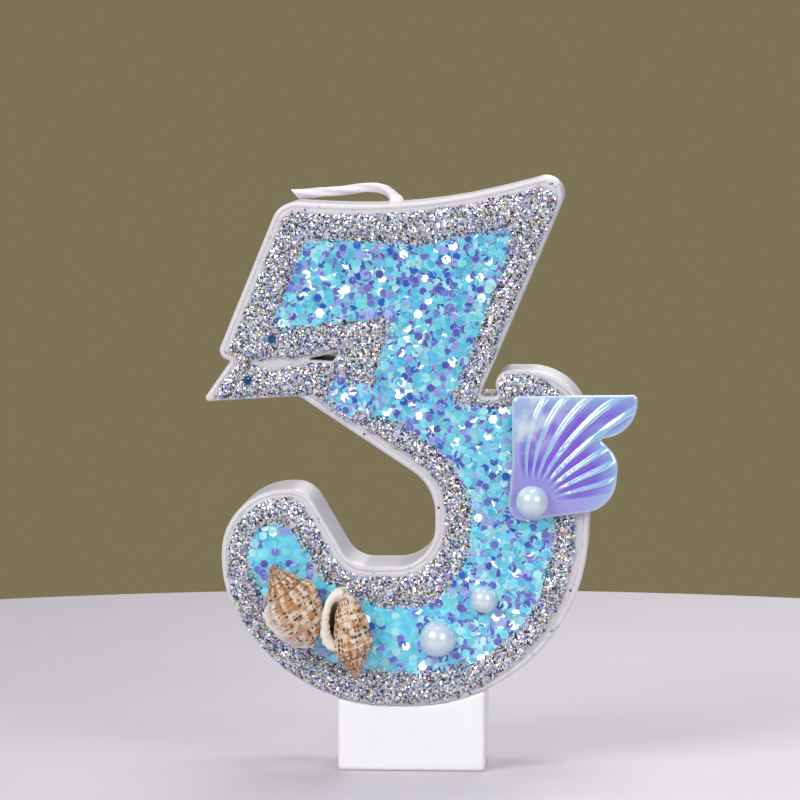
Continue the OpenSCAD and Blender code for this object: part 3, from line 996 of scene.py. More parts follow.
@dataclass
class WaxNumeral:
    """The cast wax figure with a double rim, and the foot that it stands on."""

    edge_radius: float = 0.42 * MM
    groove_at: float = 0.62 * MM
    groove_deep: float = 0.14 * MM
    groove_wide: float = 0.08 * MM
    back_sink: float = 0.28 * MM
    rim_depth: float = 0.6 * MM
    gel_depth: float = 0.8 * MM
    foot_radius: float = 0.45 * MM

    def __post_init__(self) -> None:
        """Reads the outlines of the numeral and of the gel's recess."""
        low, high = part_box("wax_numeral")
        self.front_y, self.back_y = low.y, high.y
        step = self.front_y + self.rim_depth
        self.silhouette = outlines_at("wax_numeral", step)[0]
        self.edge = softened(self.silhouette, 1, 0.5 * MM)
        face = outlines_at("wax_numeral", self.front_y)
        self.slit = softened(min(face, key=lambda loop: abs(signed_area(loop))), 0, 0.4 * MM)
        self.pool = softened(outlines_at("blue_gel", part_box("blue_gel")[0].y)[0], 1, 0.5 * MM)

    def rim(self, gap: Array, radius: float) -> Array:
        """How far a rounded edge falls back, at distances from the outline."""
        inside = np.clip(radius - gap, 0, radius)
        return radius - np.sqrt(np.maximum(radius**2 - inside**2, 0))

    def recess(self, places: Array) -> Array:
        """Depth of the gel's recess in the wax face."""
        deep = np.where(within([self.pool], places), distance_to([self.pool], places), 0)
        return np.clip(deep * 5, 0, self.gel_depth)

    def front(self, places: Array) -> Array:
        """Depth of the front: rounded rim, a groove inside it, and the recess."""
        gap = distance_to([self.edge, self.slit], places)
        groove = self.groove_deep * np.exp(-(((gap - self.groove_at) / self.groove_wide) ** 2))
        wander = 0.04 * MM * ripple(places, 9 * MM, 3) * np.clip(gap / MM, 0, 1)
        return self.front_y + self.rim(gap, self.edge_radius) + groove + wander + self.recess(places)

    def back(self, places: Array) -> Array:
        """Depth of the back, which sank a little as the wax cooled."""
        gap = distance_to([self.edge, self.slit], places)
        sink = self.back_sink * (1 - np.exp(-gap / (2.5 * MM)))
        wander = 0.06 * MM * ripple(places, 12 * MM, 5) * np.clip(gap / MM, 0, 1)
        return self.back_y - self.rim(gap, self.edge_radius) - sink - wander - 0.03 * MM

    def build(self) -> None:
        """Makes the numeral and its foot."""
        wax = CastWax("Cast wax", roughness=0.38, coat=0.12, coat_roughness=0.25)
        plate = Plate(
            [self.edge, self.slit],
            self.front,
            self.back,
            rings=in_mm(0.03, 0.1, 0.2, 0.33, 0.44, 0.54, 0.62, 0.7, 0.8),
            grid=1.2 * MM,
            lines=[self.pool, inset(self.pool, 0.16 * MM)],
            wall_steps=6,
        )
        mesh = plate.build()
        fitted(mesh.placed("wax_figure", wax.build()), Slot.WAX, "wax_numeral")
        self.build_foot()

    def foot_face(self, places: Array, outline: Array, level: float, side: float) -> Array:
        """Depth of a face of the foot, rounded at its edges and a little hollow.

        Args:
            places: points of the face, across and up.
            outline: the foot's outline.
            level: how deep the flat face would lie.
            side: -1 for the front and 1 for the back.
        """
        gap = distance_to([outline], places)
        fall = self.rim(gap, self.foot_radius) + 0.05 * MM * (1 - np.exp(-gap / (2 * MM)))
        return level - side * fall

    def build_foot(self) -> None:
        """The square-cut foot, saddled to the numeral's underside."""
        low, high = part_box("foot_block")
        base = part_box("wax_numeral")[0].z
        across, up = self.silhouette.T
        under = self.silhouette[(np.abs(across) < high.x) & (up < base + 4 * MM)]
        under = under[np.argsort(under[:, 0])]
        sides = np.interp([low.x, high.x], under[:, 0], under[:, 1])
        across = np.linspace(low.x, high.x, 36)
        saddle = np.column_stack([across, np.interp(across, under[:, 0], under[:, 1])])
        corner = self.foot_radius
        turn = np.linspace(0, math.pi / 2, 5)
        left = [(low.x + corner - corner * math.cos(a), corner - corner * math.sin(a)) for a in turn]
        right = [(high.x - corner + corner * math.sin(a), corner - corner * math.cos(a)) for a in turn]
        saddle[0, 1], saddle[-1, 1] = sides
        outline = np.array([*left, *right, *saddle[::-1]])
        outline = softened(outline, 0, 0.6 * MM)
        front = partial(self.foot_face, outline=outline, level=low.y, side=-1.0)
        back = partial(self.foot_face, outline=outline, level=high.y, side=1.0)
        plate = Plate([outline], front, back, rings=in_mm(0.05, 0.15, 0.3, 0.45), wall_steps=5)
        wax = CastWax(
            "Foot wax", roughness=0.42, colour=(0.96, 0.95, 0.955), shade=(0.93, 0.92, 0.93), scatter=0.3
        )
        fitted(plate.build().placed("foot", wax.build()), Slot.FOOT, "foot_block")


@dataclass
class GlitterBorder:
    """The silver glitter: a domed bed of glue, and loose flakes over it."""

    numeral: WaxNumeral
    crown: float = 0.62 * MM
    wander: float = 0.22 * MM
    flakes: int = 27000
    strays: int = 1500
    spill: int = 3600
    flake_radius: tuple[float, float] = (0.09 * MM, 0.165 * MM)

    def outline(self) -> list[Array]:
        """The bed's outlines, with the uneven edge of poured glitter."""
        loops = []
        node_loops = outlines_at("glitter_border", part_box("glitter_border")[0].y)
        for i, loop in enumerate(node_loops):
            loop = softened(loop, 0, 0.35 * MM)
            middle = (np.roll(loop, -1, axis=0) - np.roll(loop, 1, axis=0)) / 2
            side = np.column_stack([-middle[:, 1], middle[:, 0]])
            side /= np.maximum(np.linalg.norm(side, axis=1, keepdims=True), 1e-9)
            amount = self.wander * ripple(loop, 1.7 * MM, 11 + i) * np.clip(
                distance_to([self.numeral.edge], loop) / (0.5 * MM), 0, 1
            )
            loops.append(loop + side * amount[:, None])
        return loops

    def build(self) -> None:
        """Makes the bed, the flakes on it and the strays round it."""
        loops = self.outline()
        front_y = self.numeral.front_y

        def crown(places: Array) -> Array:
            """Depth of the bed's domed, lumpy top."""
            gap = distance_to(loops, places)
            dome = 1 - np.clip(1 - gap / (1.1 * MM), 0, 1) ** 2
            lumps = 0.09 * MM * ripple(places, 1.6 * MM, 21) * np.clip(gap / (0.5 * MM), 0, 1)
            return front_y - 0.12 * MM - (self.crown - 0.2 * MM) * dome + lumps

        def under(places: Array) -> Array:
            """The bed's flat underside, on the wax."""
            return np.full(len(places), front_y + 0.04 * MM)

        plate = Plate(loops, crown, under, rings=tuple(r * MM for r in (0.12, 0.3, 0.6)), grid=0.55 * MM)
        bed = plate.build()
        finish = FlakeBed("Glitter bed", roughness=0.28)
        fitted(bed.placed("glitter_bed", finish.build()), Slot.GLITTER, "glitter_border")
        self.lay_flakes(bed)

    def tints(self, count: int, rng: np.random.Generator) -> Array:
        """Flake colours: mostly silver and dark, some holographic hues. The spread of greys from white to
        near black paints the glints and dark reflections of tilted silver flakes.
        """
        # silver greys spread wide as painted glints (white) and painted dark reflections (near black)
        grey = rng.choice([1.0, 0.85, 0.5, 0.16, 0.03], count, p=[0.48, 0.14, 0.11, 0.12, 0.15])
        hues = np.array(
            [
                (1.0, 0.25, 0.2),
                (1.0, 0.82, 0.25),
                (0.3, 0.95, 0.55),
                (0.12, 0.22, 1.0),
                (0.3, 0.7, 1.0),
                (0.45, 0.25, 1.0),
                (0.7, 0.6, 1.0),
            ]
        )
        hue = hues[rng.choice(len(hues), count, p=[0.07, 0.15, 0.07, 0.22, 0.16, 0.15, 0.18])]
        share = np.where(rng.random(count) < 0.3, rng.uniform(0.45, 1.0, count), rng.uniform(0, 0.1, count))
        cool = np.array([0.97, 0.98, 1.0])
        return (1 - share[:, None]) * grey[:, None] * cool + share[:, None] * hue

    def lay_flakes(self, bed: Mesh) -> None:
        """Scatters flakes over the bed, and a few over the bare wax by it."""
        rng = np.random.default_rng(31)
        lot = FlakeLot(0.025 * MM)
        places, normals = scattered(bed, self.flakes, rng)
        places += normals * rng.uniform(-0.01, 0.12, (self.flakes, 1)) * MM
        normals = tilted(normals, rng.uniform(0.08, 0.45, self.flakes), rng)
        radii = rng.uniform(*self.flake_radius, self.flakes)
        spins = rng.uniform(0, math.pi, self.flakes)
        tints = self.tints(self.flakes, rng)
        foil = Foil("Glitter foil", roughness=0.24, metal=0.55).build()
        parts = 4
        for part in range(parts):
            take = slice(part * self.flakes // parts, (part + 1) * self.flakes // parts)
            mesh = lot.build(places[take], normals[take], radii[take], spins[take], tints[take])
            fitted(mesh.placed(f"glitter_flakes_{part + 1}", foil, smooth=0), Slot.GLITTER)
        self.lay_strays(lot, foil, rng)

    def lay_strays(self, lot: FlakeLot, foil: bpy.types.Material, rng: np.random.Generator) -> None:
        """Lays single flakes on the wax rim and round the border's edges."""
        edge = self.numeral.edge
        start = rng.integers(0, len(edge), self.strays)
        share = rng.random((self.strays, 1))
        on_edge = edge[start] * (1 - share) + np.roll(edge, -1, axis=0)[start] * share
        inward = np.array([0.0, float(edge[:, 1].mean())])
        spots = on_edge + rng.normal(0, 0.6 * MM, (self.strays, 2))
        keep = within([edge], spots) & ~within([self.numeral.slit], spots)
        keep &= distance_to([edge], spots) > 0.3 * MM
        low = on_edge[:, 1] < inward[1] * 0.45
        keep &= low | (rng.random(self.strays) < 0.14)
        spots = spots[keep]
        depth = self.numeral.front(spots) - 0.02 * MM
        pool = self.numeral.pool
        pick = rng.integers(0, len(pool), self.spill)
        over = pool[pick] + rng.normal(0, 0.26 * MM, (self.spill, 2))
        spots = np.vstack([spots, over])
        top = self.numeral.front_y - 0.52 * MM - rng.uniform(0, 0.08 * MM, self.spill)
        depth = np.concatenate([depth, top])
        places = np.column_stack([spots[:, 0], depth, spots[:, 1]])
        normals = tilted(np.tile([[0.0, -1.0, 0.0]], (len(spots), 1)), np.full(len(spots), 0.12), rng)
        mesh = lot.build(
            places,
            normals,
            rng.uniform(*self.flake_radius, len(spots)),
            rng.uniform(0, math.pi, len(spots)),
            self.tints(len(spots), rng),
        )
        fitted(mesh.placed("stray_flakes", foil, smooth=0), Slot.GLITTER)


@dataclass
class SequinPool:
    """The blue gel and the hexagon sequins in it and on it."""

    numeral: WaxNumeral
    sequins: int = 3300
    stray_places: tuple[tuple[float, float], ...] = ((0.112, 0.618), (0.176, 0.695))
    radius: float = 0.56 * MM

    def build(self) -> None:
        """Makes the gel and lays the sequins."""
        pool = self.numeral.pool
        top_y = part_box("blue_gel")[0].y

        def crown(places: Array) -> Array:
            """Depth of the gel's soft, uneven top."""
            gap = distance_to([pool], places)
            dome = 1 - np.clip(1 - gap / (1.0 * MM), 0, 1) ** 2
            waves = 0.07 * MM * ripple(places, 2.6 * MM, 41) * np.clip(gap / MM, 0, 1)
            return top_y + 0.25 * MM - 0.22 * MM * dome + waves

        def under(places: Array) -> Array:
            """The gel's underside, which fills the recess."""
            return self.numeral.front_y + self.numeral.recess(places)

        plate = Plate([pool], crown, under, rings=tuple(r * MM for r in (0.16, 0.4, 0.8)), grid=0.6 * MM)
        gel = plate.build()
        finish = Gel("Sea gel", roughness=0.25, coat=1.0, coat_roughness=0.04)
        fitted(gel.placed("sea_gel", finish.build()), Slot.GEL, "blue_gel")
        self.lay_sequins(gel)

    def lay_sequins(self, gel: Mesh) -> None:
        """Lays the sequins flat, leaning and half sunk."""
        rng = np.random.default_rng(51)
        places, normals = scattered(gel, int(self.sequins * 1.3), rng)
        inner = distance_to([self.numeral.pool], places[:, [0, 2]]) > 0.25 * MM
        bare = ripple(places[:, [0, 2]], 9 * MM, 53)
        lower_left = (places[:, 0] < 1 * MM) & (places[:, 2] < 29 * MM)
        sparse = lower_left & (rng.random(len(places)) < 0.72 + 0.3 * bare)
        inner &= ~sparse
        places, normals = places[inner][: self.sequins], normals[inner][: self.sequins]
        count = len(places)
        places = places + normals * rng.uniform(-0.03, 0.12, (count, 1)) * MM
        spread = np.where(rng.random(count) < 0.1, 0.2, 0.035)
        normals = tilted(normals, spread, rng)
        palette = np.array(
            [
                (0.12, 0.13, 0.56),
                (0.03, 0.14, 0.60),
                (0.18, 0.22, 0.70),
                (0.34, 0.42, 0.88),
                (0.10, 0.62, 0.90),
                (0.20, 0.80, 0.95),
                (0.42, 0.88, 0.97),
                # the last, white kind is painted glints: sequins that stand for light caught, lit further by
                # their own glow
                (1.00, 1.00, 1.00),
            ]
        )
        chance = [0.09, 0.08, 0.12, 0.10, 0.20, 0.22, 0.14, 0.05]
        kinds = rng.choice(len(palette), count, p=chance)
        tints = palette[kinds] * rng.uniform(0.85, 1.15, (count, 1))
        mesh = FlakeLot(0.035 * MM, rim=0.16).build(
            places,
            normals,
            rng.uniform(0.9, 1.04, count) * self.radius,
            rng.uniform(0, math.pi, count),
            np.clip(tints, 0, 1),
        )
        # painted glints: white sequins glow at full strength, all the others faintly
        painted_glint = np.where(kinds == len(palette) - 1, 1.0, 0.1)
        mesh.values["painted_glint"] = np.repeat(painted_glint, len(mesh.points) // count)
        film = Foil("Sequin film", roughness=0.14, metal=0.25, coat=1.0, painted_glint=0.55).build()
        fitted(mesh.placed("hexagon_sequins", film, smooth=0), Slot.SEQUIN, "loose_sequins")
        self.lay_strays(film)

    def lay_strays(self, film: bpy.types.Material) -> None:
        """Lays the two dark sequins that strayed onto the glitter at the left.

        Args:
            film: the sequins' material.
        """
        low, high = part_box("wax_numeral")
        wide, tall = high.x - low.x, high.z - low.z
        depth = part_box("glitter_border")[0].y - 0.06 * MM
        places = np.array(
            [[low.x + across * wide, depth, low.z + up * tall] for across, up in self.stray_places]
        )
        count = len(places)
        mesh = FlakeLot(0.05 * MM, rim=0.1, rim_colour=(0.42, 0.552, 0.6)).build(
            places,
            np.tile([[0.0, -1.0, 0.0]], (count, 1)),
            np.full(count, self.radius),
            np.arange(count) * 0.4,
            np.tile([[0.006, 0.084, 0.216]], (count, 1)),
        )
        mesh.values["painted_glint"] = np.zeros(len(mesh.points))
        fitted(mesh.placed("stray_sequins", film, smooth=0), Slot.SEQUIN)


@dataclass
class FanShell:
    """The ribbed fan shell, with the set glue behind it."""

    ribs: int = 8
    first_rib: float = 5.0
    last_rib: float = 108.0
    straight_rib: float = 27.0
    rib_curl: float = 0.30
    edge_thick: float = 0.34 * MM
    dome: float = 0.56 * MM
    rib_height: float = 0.36 * MM

    def __post_init__(self) -> None:
        """Reads the fan's outline and its hinge, which is under its pearl."""
        low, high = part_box("fan_shell")
        self.front_y, self.back_y = low.y, high.y
        self.outline = softened(outlines_at("fan_shell", high.y)[0], 1, 0.3 * MM)
        pearl_low, pearl_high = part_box("fan_pearl")
        self.hinge = np.array([(pearl_low.x + pearl_high.x) / 2, (pearl_low.z + pearl_high.z) / 2])
        self.size = max(high.x - low.x, high.z - low.z)

    def fan_places(self, flat: Array) -> tuple[Array, Array]:
        """Place of points in the fan: across the ribs in ribs, and out from the hinge.

        Args:
            flat: (across, up) places.
        """
        arm = flat - self.hinge
        out = np.linalg.norm(arm, axis=1) / self.size
        angle = (np.degrees(np.arctan2(arm[:, 1], arm[:, 0])) + 120) % 360 - 120
        curl = np.clip(self.rib_curl * (out - 0.2) / 0.7, 0, 0.6)
        start = (angle - self.straight_rib * curl) / (1 - curl)
        return (start - self.first_rib) / (self.last_rib - self.first_rib) * self.ribs, out

    def ridges(self, flat: Array) -> tuple[Array, Array]:
        """Height of the ribs from 0 to 1, and how far they have grown."""
        across, out = self.fan_places(flat)
        inside = np.clip(np.minimum(across + 0.5, self.ribs + 0.6 - across), 0, 1)
        grown = np.clip((out - 0.17) / 0.16, 0, 1) * inside
        gap = distance_to([self.outline], flat)
        grown *= np.clip(gap / (1.1 * MM), 0.25, 1)
        wave = 0.5 - 0.5 * np.cos(2 * math.pi * across)
        return wave**2.4, grown

    def front(self, flat: Array) -> Array:
        """Depth of the front: domed, ribbed, with a rounded edge."""
        gap = distance_to([self.outline], flat)
        wave, grown = self.ridges(flat)
        swell = self.dome * (1 - np.exp(-gap / (1.6 * MM)))
        edge = 0.16 * MM * np.clip(1 - gap / (0.16 * MM), 0, 1) ** 2
        rib = self.rib_height * (wave - 0.3) * grown
        return np.maximum(self.back_y - self.edge_thick - swell - rib + edge, self.front_y)

    def back(self, flat: Array) -> Array:
        """Depth of the back, which follows the front more shallowly."""
        gap = distance_to([self.outline], flat)
        wave, grown = self.ridges(flat)
        swell = 0.6 * self.dome * (1 - np.exp(-gap / (1.8 * MM)))
        return self.back_y - swell - 0.5 * self.rib_height * wave * grown

    def build(self) -> None:
        """Makes the fan and its glue."""
        plate = Plate(
            [self.outline], self.front, self.back, rings=in_mm(0.08, 0.2), grid=0.2 * MM, wall_steps=2
        )
        mesh = plate.build()
        flat = mesh.points[:, [0, 2]]
        across, out = self.fan_places(flat)
        _, grown = self.ridges(flat)
        gap = distance_to([self.outline], flat)
        right = np.clip((across - self.ribs * 0.62) / (self.ribs * 0.3), 0, 1)
        mesh.values = {
            "ribs_across": across,
            "ribbed": np.clip(grown * 2, 0, 1),
            "rim": np.clip(1 - gap / (0.32 * MM), 0, 1),
            "outer": np.clip(1 - gap / (2.6 * MM), 0, 1) * np.clip((out - 0.35) * 5, 0, 1),
            # pale marks where the finish paints a whitish reflection patch
            "pale": right * np.clip((out - 0.28) * 5, 0, 1),
        }
        finish = FanPearl("Fan shell lacquer", roughness=0.2, coat=1.0, coat_roughness=0.05)
        fitted(mesh.placed("fan_scallop", finish.build(), smooth=50), Slot.FAN, "fan_shell")
        self.build_glue()

    def build_glue(self) -> None:
        """The set glue that holds the fan off the gel."""
        low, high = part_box("fan_glue_dab")
        middle = np.array([(low.x + high.x) / 2, 0, (low.z + high.z) / 2])
        radius = (high.x - low.x) / 2
        wide = (0.3, 0.9, 1.0, 0.92, 0.86, 0.9, 0.94, 0.5)
        forward = (-0.1, -0.1, 0.0, 0.25, 0.5, 0.8, 1.0, 1.15)
        profile = [(radius * r, high.y + (low.y - high.y) * s) for r, s in zip(wide, forward)]
        rings = turned_solid(profile) + middle
        glue = ClearGlue("Fan glue", roughness=0.2, coat=0.6, colour=(0.30, 0.66, 0.80))
        fitted(capped_tube(rings[::-1]).placed("fan_glue", glue.build()), Slot.GLUE, "fan_glue_dab")


@dataclass
class HalfPearl:
    """A half pearl with a rounded foot, in a thin ring of glue."""

    node: str
    ringed: bool

    def build(self, lacquer: bpy.types.Material, glue: bpy.types.Material) -> None:
        """Makes the pearl and its ring of glue.

        Args:
            lacquer: the pearl's material.
            glue: the ring's material.
        """
        low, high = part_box(self.node)
        radius = (high.x - low.x) / 2
        middle = np.array([(low.x + high.x) / 2, 0, (low.z + high.z) / 2])
        centre_y = low.y + radius
        foot_y = high.y
        profile = []
        for i in range(22):
            angle = math.radians(88 - i * (88 + 22) / 21)
            profile.append((radius * math.cos(angle), centre_y - radius * math.sin(angle)))
        edge = profile[-1]
        sunk = foot_y + 0.1 * MM
        profile += [(edge[0] * 0.97, (edge[1] + sunk) / 2), (edge[0] * 0.93, sunk), (edge[0] * 0.4, sunk)]
        rings = turned_solid(profile, 56) + middle
        mesh = capped_tube(rings)
        fitted(mesh.placed(f"{self.node}_bead", lacquer), Slot.PEARL, self.node)
        if not self.ringed:
            return
        outer = edge[0] + 0.42 * MM
        shape = [
            (outer, foot_y + 0.05 * MM),
            (outer - 0.12 * MM, foot_y - 0.07 * MM),
            (edge[0] + 0.12 * MM, foot_y - 0.16 * MM),
            (edge[0] + 0.01 * MM, foot_y - 0.34 * MM),
            (edge[0] - 0.25 * MM, foot_y - 0.2 * MM),
            (edge[0] - 0.25 * MM, foot_y + 0.05 * MM),
        ]
        ring = turned_solid(shape, 40) + middle
        ring[..., 1] += 0.02 * MM * np.sin(np.arange(40) * 2 * math.pi / 40 * 3)
        rows, columns = ring.shape[:2]
        faces = grid_faces(rows, columns)
        faces += [
            ((rows - 1) * columns + c, (rows - 1) * columns + (c + 1) % columns, (c + 1) % columns, c)
            for c in range(columns)
        ]
        piece = Mesh(ring.reshape(-1, 3), faces).placed(f"{self.node}_glue_ring", glue)
        fitted(piece, Slot.GLUE)


@dataclass
class SnailSpiral:
    """A spiral snail shell: a tube that winds down from its tip as it grows."""

    node: str
    lean: float
    roll: float
    girth: float
    nudge: tuple[float, float]
    turns: float = 5.5
    growth: float = 1.62
    per_turn: int = 140
    round_points: int = 84
    stretch: float = 1.07
    flat: float = 0.88
    sunk: float = 0.45 * MM
    arm: float = 0.44
    wide: float = 0.56
    drop: float = 1.3
    axial_ribs: int = 14
    rib_height: float = 0.13
    cords: int = 14
    cord_height: float = 0.03
    lip_turn: float = 0.16
    lip_flare: float = 0.10
    last_turn_depth: float = 1.08
    teeth: int = 21

    def section(self, angle: Array) -> tuple[Array, Array]:
        """The tube's cross-section: round at the shoulder, an egg's end below.

        Args:
            angle: angles round the section, upwards at 90 degrees.

        Returns:
            Distances outwards and upwards from the tube's middle.
        """
        up = np.sin(angle)
        below = np.clip(-up, 0, 1)
        out = np.sign(np.cos(angle)) * np.abs(np.cos(angle)) ** np.where(up < 0, 0.78, 0.84)
        tall = np.where(up > 0, 0.42, 1.0)
        return self.wide * out - 0.32 * below**2.2, tall * up

    def build(self, material: bpy.types.Material) -> None:
        """Makes the shell at its node's place.

        Args:
            material: the shell's material.
        """
        rings, values = self.tube()
        mesh = capped_tube(self.laid(rings), values).outward()
        fitted(mesh.placed(f"{self.node}_spiral", material), Slot.SNAIL, self.node)

    def tube(self) -> tuple[Array, dict[str, Array]]:
        """The winding tube and its mouth, about an upright axis.

        Returns:
            Rings of points, and the values that the finish asks for.
        """
        steps = int(self.turns * self.per_turn)
        t = np.linspace(0, 1, steps)
        scale = self.growth ** (-(1 - t) * self.turns)[:, None]
        alpha = ((1 - t) * self.turns * 2 * math.pi)[:, None]
        angle = np.arange(self.round_points) * 2 * math.pi / self.round_points
        across, up = self.section(angle)
        beads = 0.5 + 0.5 * np.cos(self.cords * angle)
        crest = np.cos(self.axial_ribs * alpha) * np.clip(np.cos(angle - 0.8), 0, 1) ** 1.5
        ribs = 1 + self.rib_height * (0.7 + 0.3 * beads) * crest
        cords = 1 + self.cord_height * np.cos(self.cords * angle)
        lip_share = self.lip_turn / self.turns
        lip = np.clip((t - 1 + lip_share) / lip_share, 0, 1)
        flare = 1 + self.lip_flare * lip[:, None] ** 2
        deeper = 1 + self.last_turn_depth * np.clip((1 - t) * self.turns, 0, 1)[:, None]
        out = (self.arm + across * ribs * cords * flare) * scale
        rise = (-self.drop + up * np.where(up < 0, deeper, 1.0) * flare) * scale
        outer = np.stack([out * np.cos(alpha), out * np.sin(alpha), rise], axis=2)
        inner = self.mouth_rings(across, up)
        more = len(inner)
        along = {
            "turn": (t * self.turns, np.full(more, self.turns)),
            "lip": (lip**2.6 * 0.95, np.linspace(1, 0, more)),
            # mouth: the share of painted shade inside the opening, growing towards its depth
            "mouth": (np.zeros(steps), np.clip(np.linspace(-1.3, 2.2, more), 0, 1)),
        }
        around = np.ones((1, self.round_points))
        values = {name: np.concatenate(parts)[:, None] * around for name, parts in along.items()}
        values["across"] = np.tile(0.5 + 0.5 * np.sin(angle), (steps + more, 1))
        values["crest"] = np.concatenate([0.5 + 0.5 * crest, np.zeros((more, self.round_points))])
        return np.concatenate([outer, inner]), values

    def laid(self, rings: Array) -> Array:
        """The rings at the node's place: cut to size, rolled, flattened and leaned."""
        low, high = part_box(self.node)
        centre = (low + high) / 2
        deep = high.y - low.y
        lean = math.radians(self.lean)
        length = self.shell_length(low, high, deep, lean) * self.stretch
        points = self.fit(rings.reshape(-1, 3), length, deep * self.girth)
        rolled = self.turned(points, "Z", math.radians(self.roll)) * [1, self.flat, 1]
        placed = self.turned(rolled, "Y", lean)
        middle = np.array([centre.x + self.nudge[0], 0, centre.z + self.nudge[1]])
        placed += middle - (placed.max(0) + placed.min(0)) / 2 * [1, 0, 1]
        placed[:, 1] += high.y + self.sunk - placed[:, 1].max()
        return placed.reshape(rings.shape)

    def shell_length(self, low: Vector, high: Vector, wide: float, lean: float) -> float:
        """Length of the shell along its own axis, from its node's upright box."""
        tall = high.z - low.z
        return (tall - 0.35 * wide * abs(math.sin(lean))) / max(0.2, abs(math.cos(lean)))

    def mouth_rings(self, across: Array, up: Array) -> Array:
        """Rings that turn over the lip and run back inside the mouth.

        Args:
            across: the section's distances outwards.
            up: the section's distances upwards.
        """
        shrinks = (0.93, 0.84, 0.74, 0.66, 0.6, 0.5, 0.3)
        angles = (-0.035, -0.03, 0.0, 0.07, 0.2, 0.45, 0.7)
        tooth = 0.10 * np.cos(self.teeth * np.linspace(0, 2 * math.pi, len(across), endpoint=False))
        rings = []
        for k, (shrink, angle) in enumerate(zip(shrinks, angles)):
            inside = min(1.0, k / 3)
            teeth = 1 + tooth * (2 <= k <= 4)
            out = self.arm + 0.02 + across * shrink * (1 - 0.36 * inside) * teeth
            rise = -self.drop + up * shrink - 0.10 * inside
            rings.append(np.stack([out * math.cos(angle), out * math.sin(angle), rise], axis=1))
        return np.array(rings)

    @staticmethod
    def turned(points: Array, axis: str, angle: float) -> Array:
        """Points turned about an axis through the origin."""
        c, s = math.cos(angle), math.sin(angle)
        i, j = {"Z": (0, 1), "Y": (2, 0)}[axis]
        result = points.copy()
        result[:, i] = points[:, i] * c - points[:, j] * s
        result[:, j] = points[:, i] * s + points[:, j] * c
        return result

    @staticmethod
    def fit(points: Array, length: float, wide: float) -> Array:
        """Points stretched to a length along the axis and a width across it."""
        points = points - (points.max(0) + points.min(0)) / 2
        span = points.max(0) - points.min(0)
        girth = max(span[0], span[1])
        return points * np.array([wide / girth, wide / girth, length / span[2]])


@dataclass
class SnailPair:
    """The two snail shells and the glue under them."""

    dab_radius: float = 1.7 * MM
    dab_wide: tuple[float, ...] = (0.4, 1.05, 1.0, 0.86, 0.8, 0.4)
    dab_forward: tuple[float, ...] = in_mm(0.05, 0.05, -0.1, -0.4, -0.9, -1.2)

    def build(self) -> None:
        """Makes both shells and their dabs of glue."""
        shells = (
            SnailSpiral("left_snail_shell", lean=-30, roll=208, girth=1.28, nudge=in_mm(0.3, 0.2)),
            SnailSpiral("right_snail_shell", lean=172, roll=-24, girth=1.08, nudge=in_mm(0.0, 0.32)),
        )
        lime = SnailShell("Snail shell", roughness=0.45, coat=0.25, coat_roughness=0.3).build()
        dabs = []
        for shell in shells:
            shell.build(lime)
            low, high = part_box(shell.node)
            middle = (low + high) / 2
            profile = [(self.dab_radius * r, high.y + y) for r, y in zip(self.dab_wide, self.dab_forward)]
            rings = turned_solid(profile, 36) + np.array([middle.x, 0, middle.z])
            dabs.append(capped_tube(rings[::-1]))
        glue = ClearGlue("Snail glue", roughness=0.2, coat=0.6, colour=(0.20, 0.62, 0.76)).build()
        fitted(dabs[0].joined(dabs[1]).placed("snail_glue", glue), Slot.GLUE, "snail_glue_dabs")


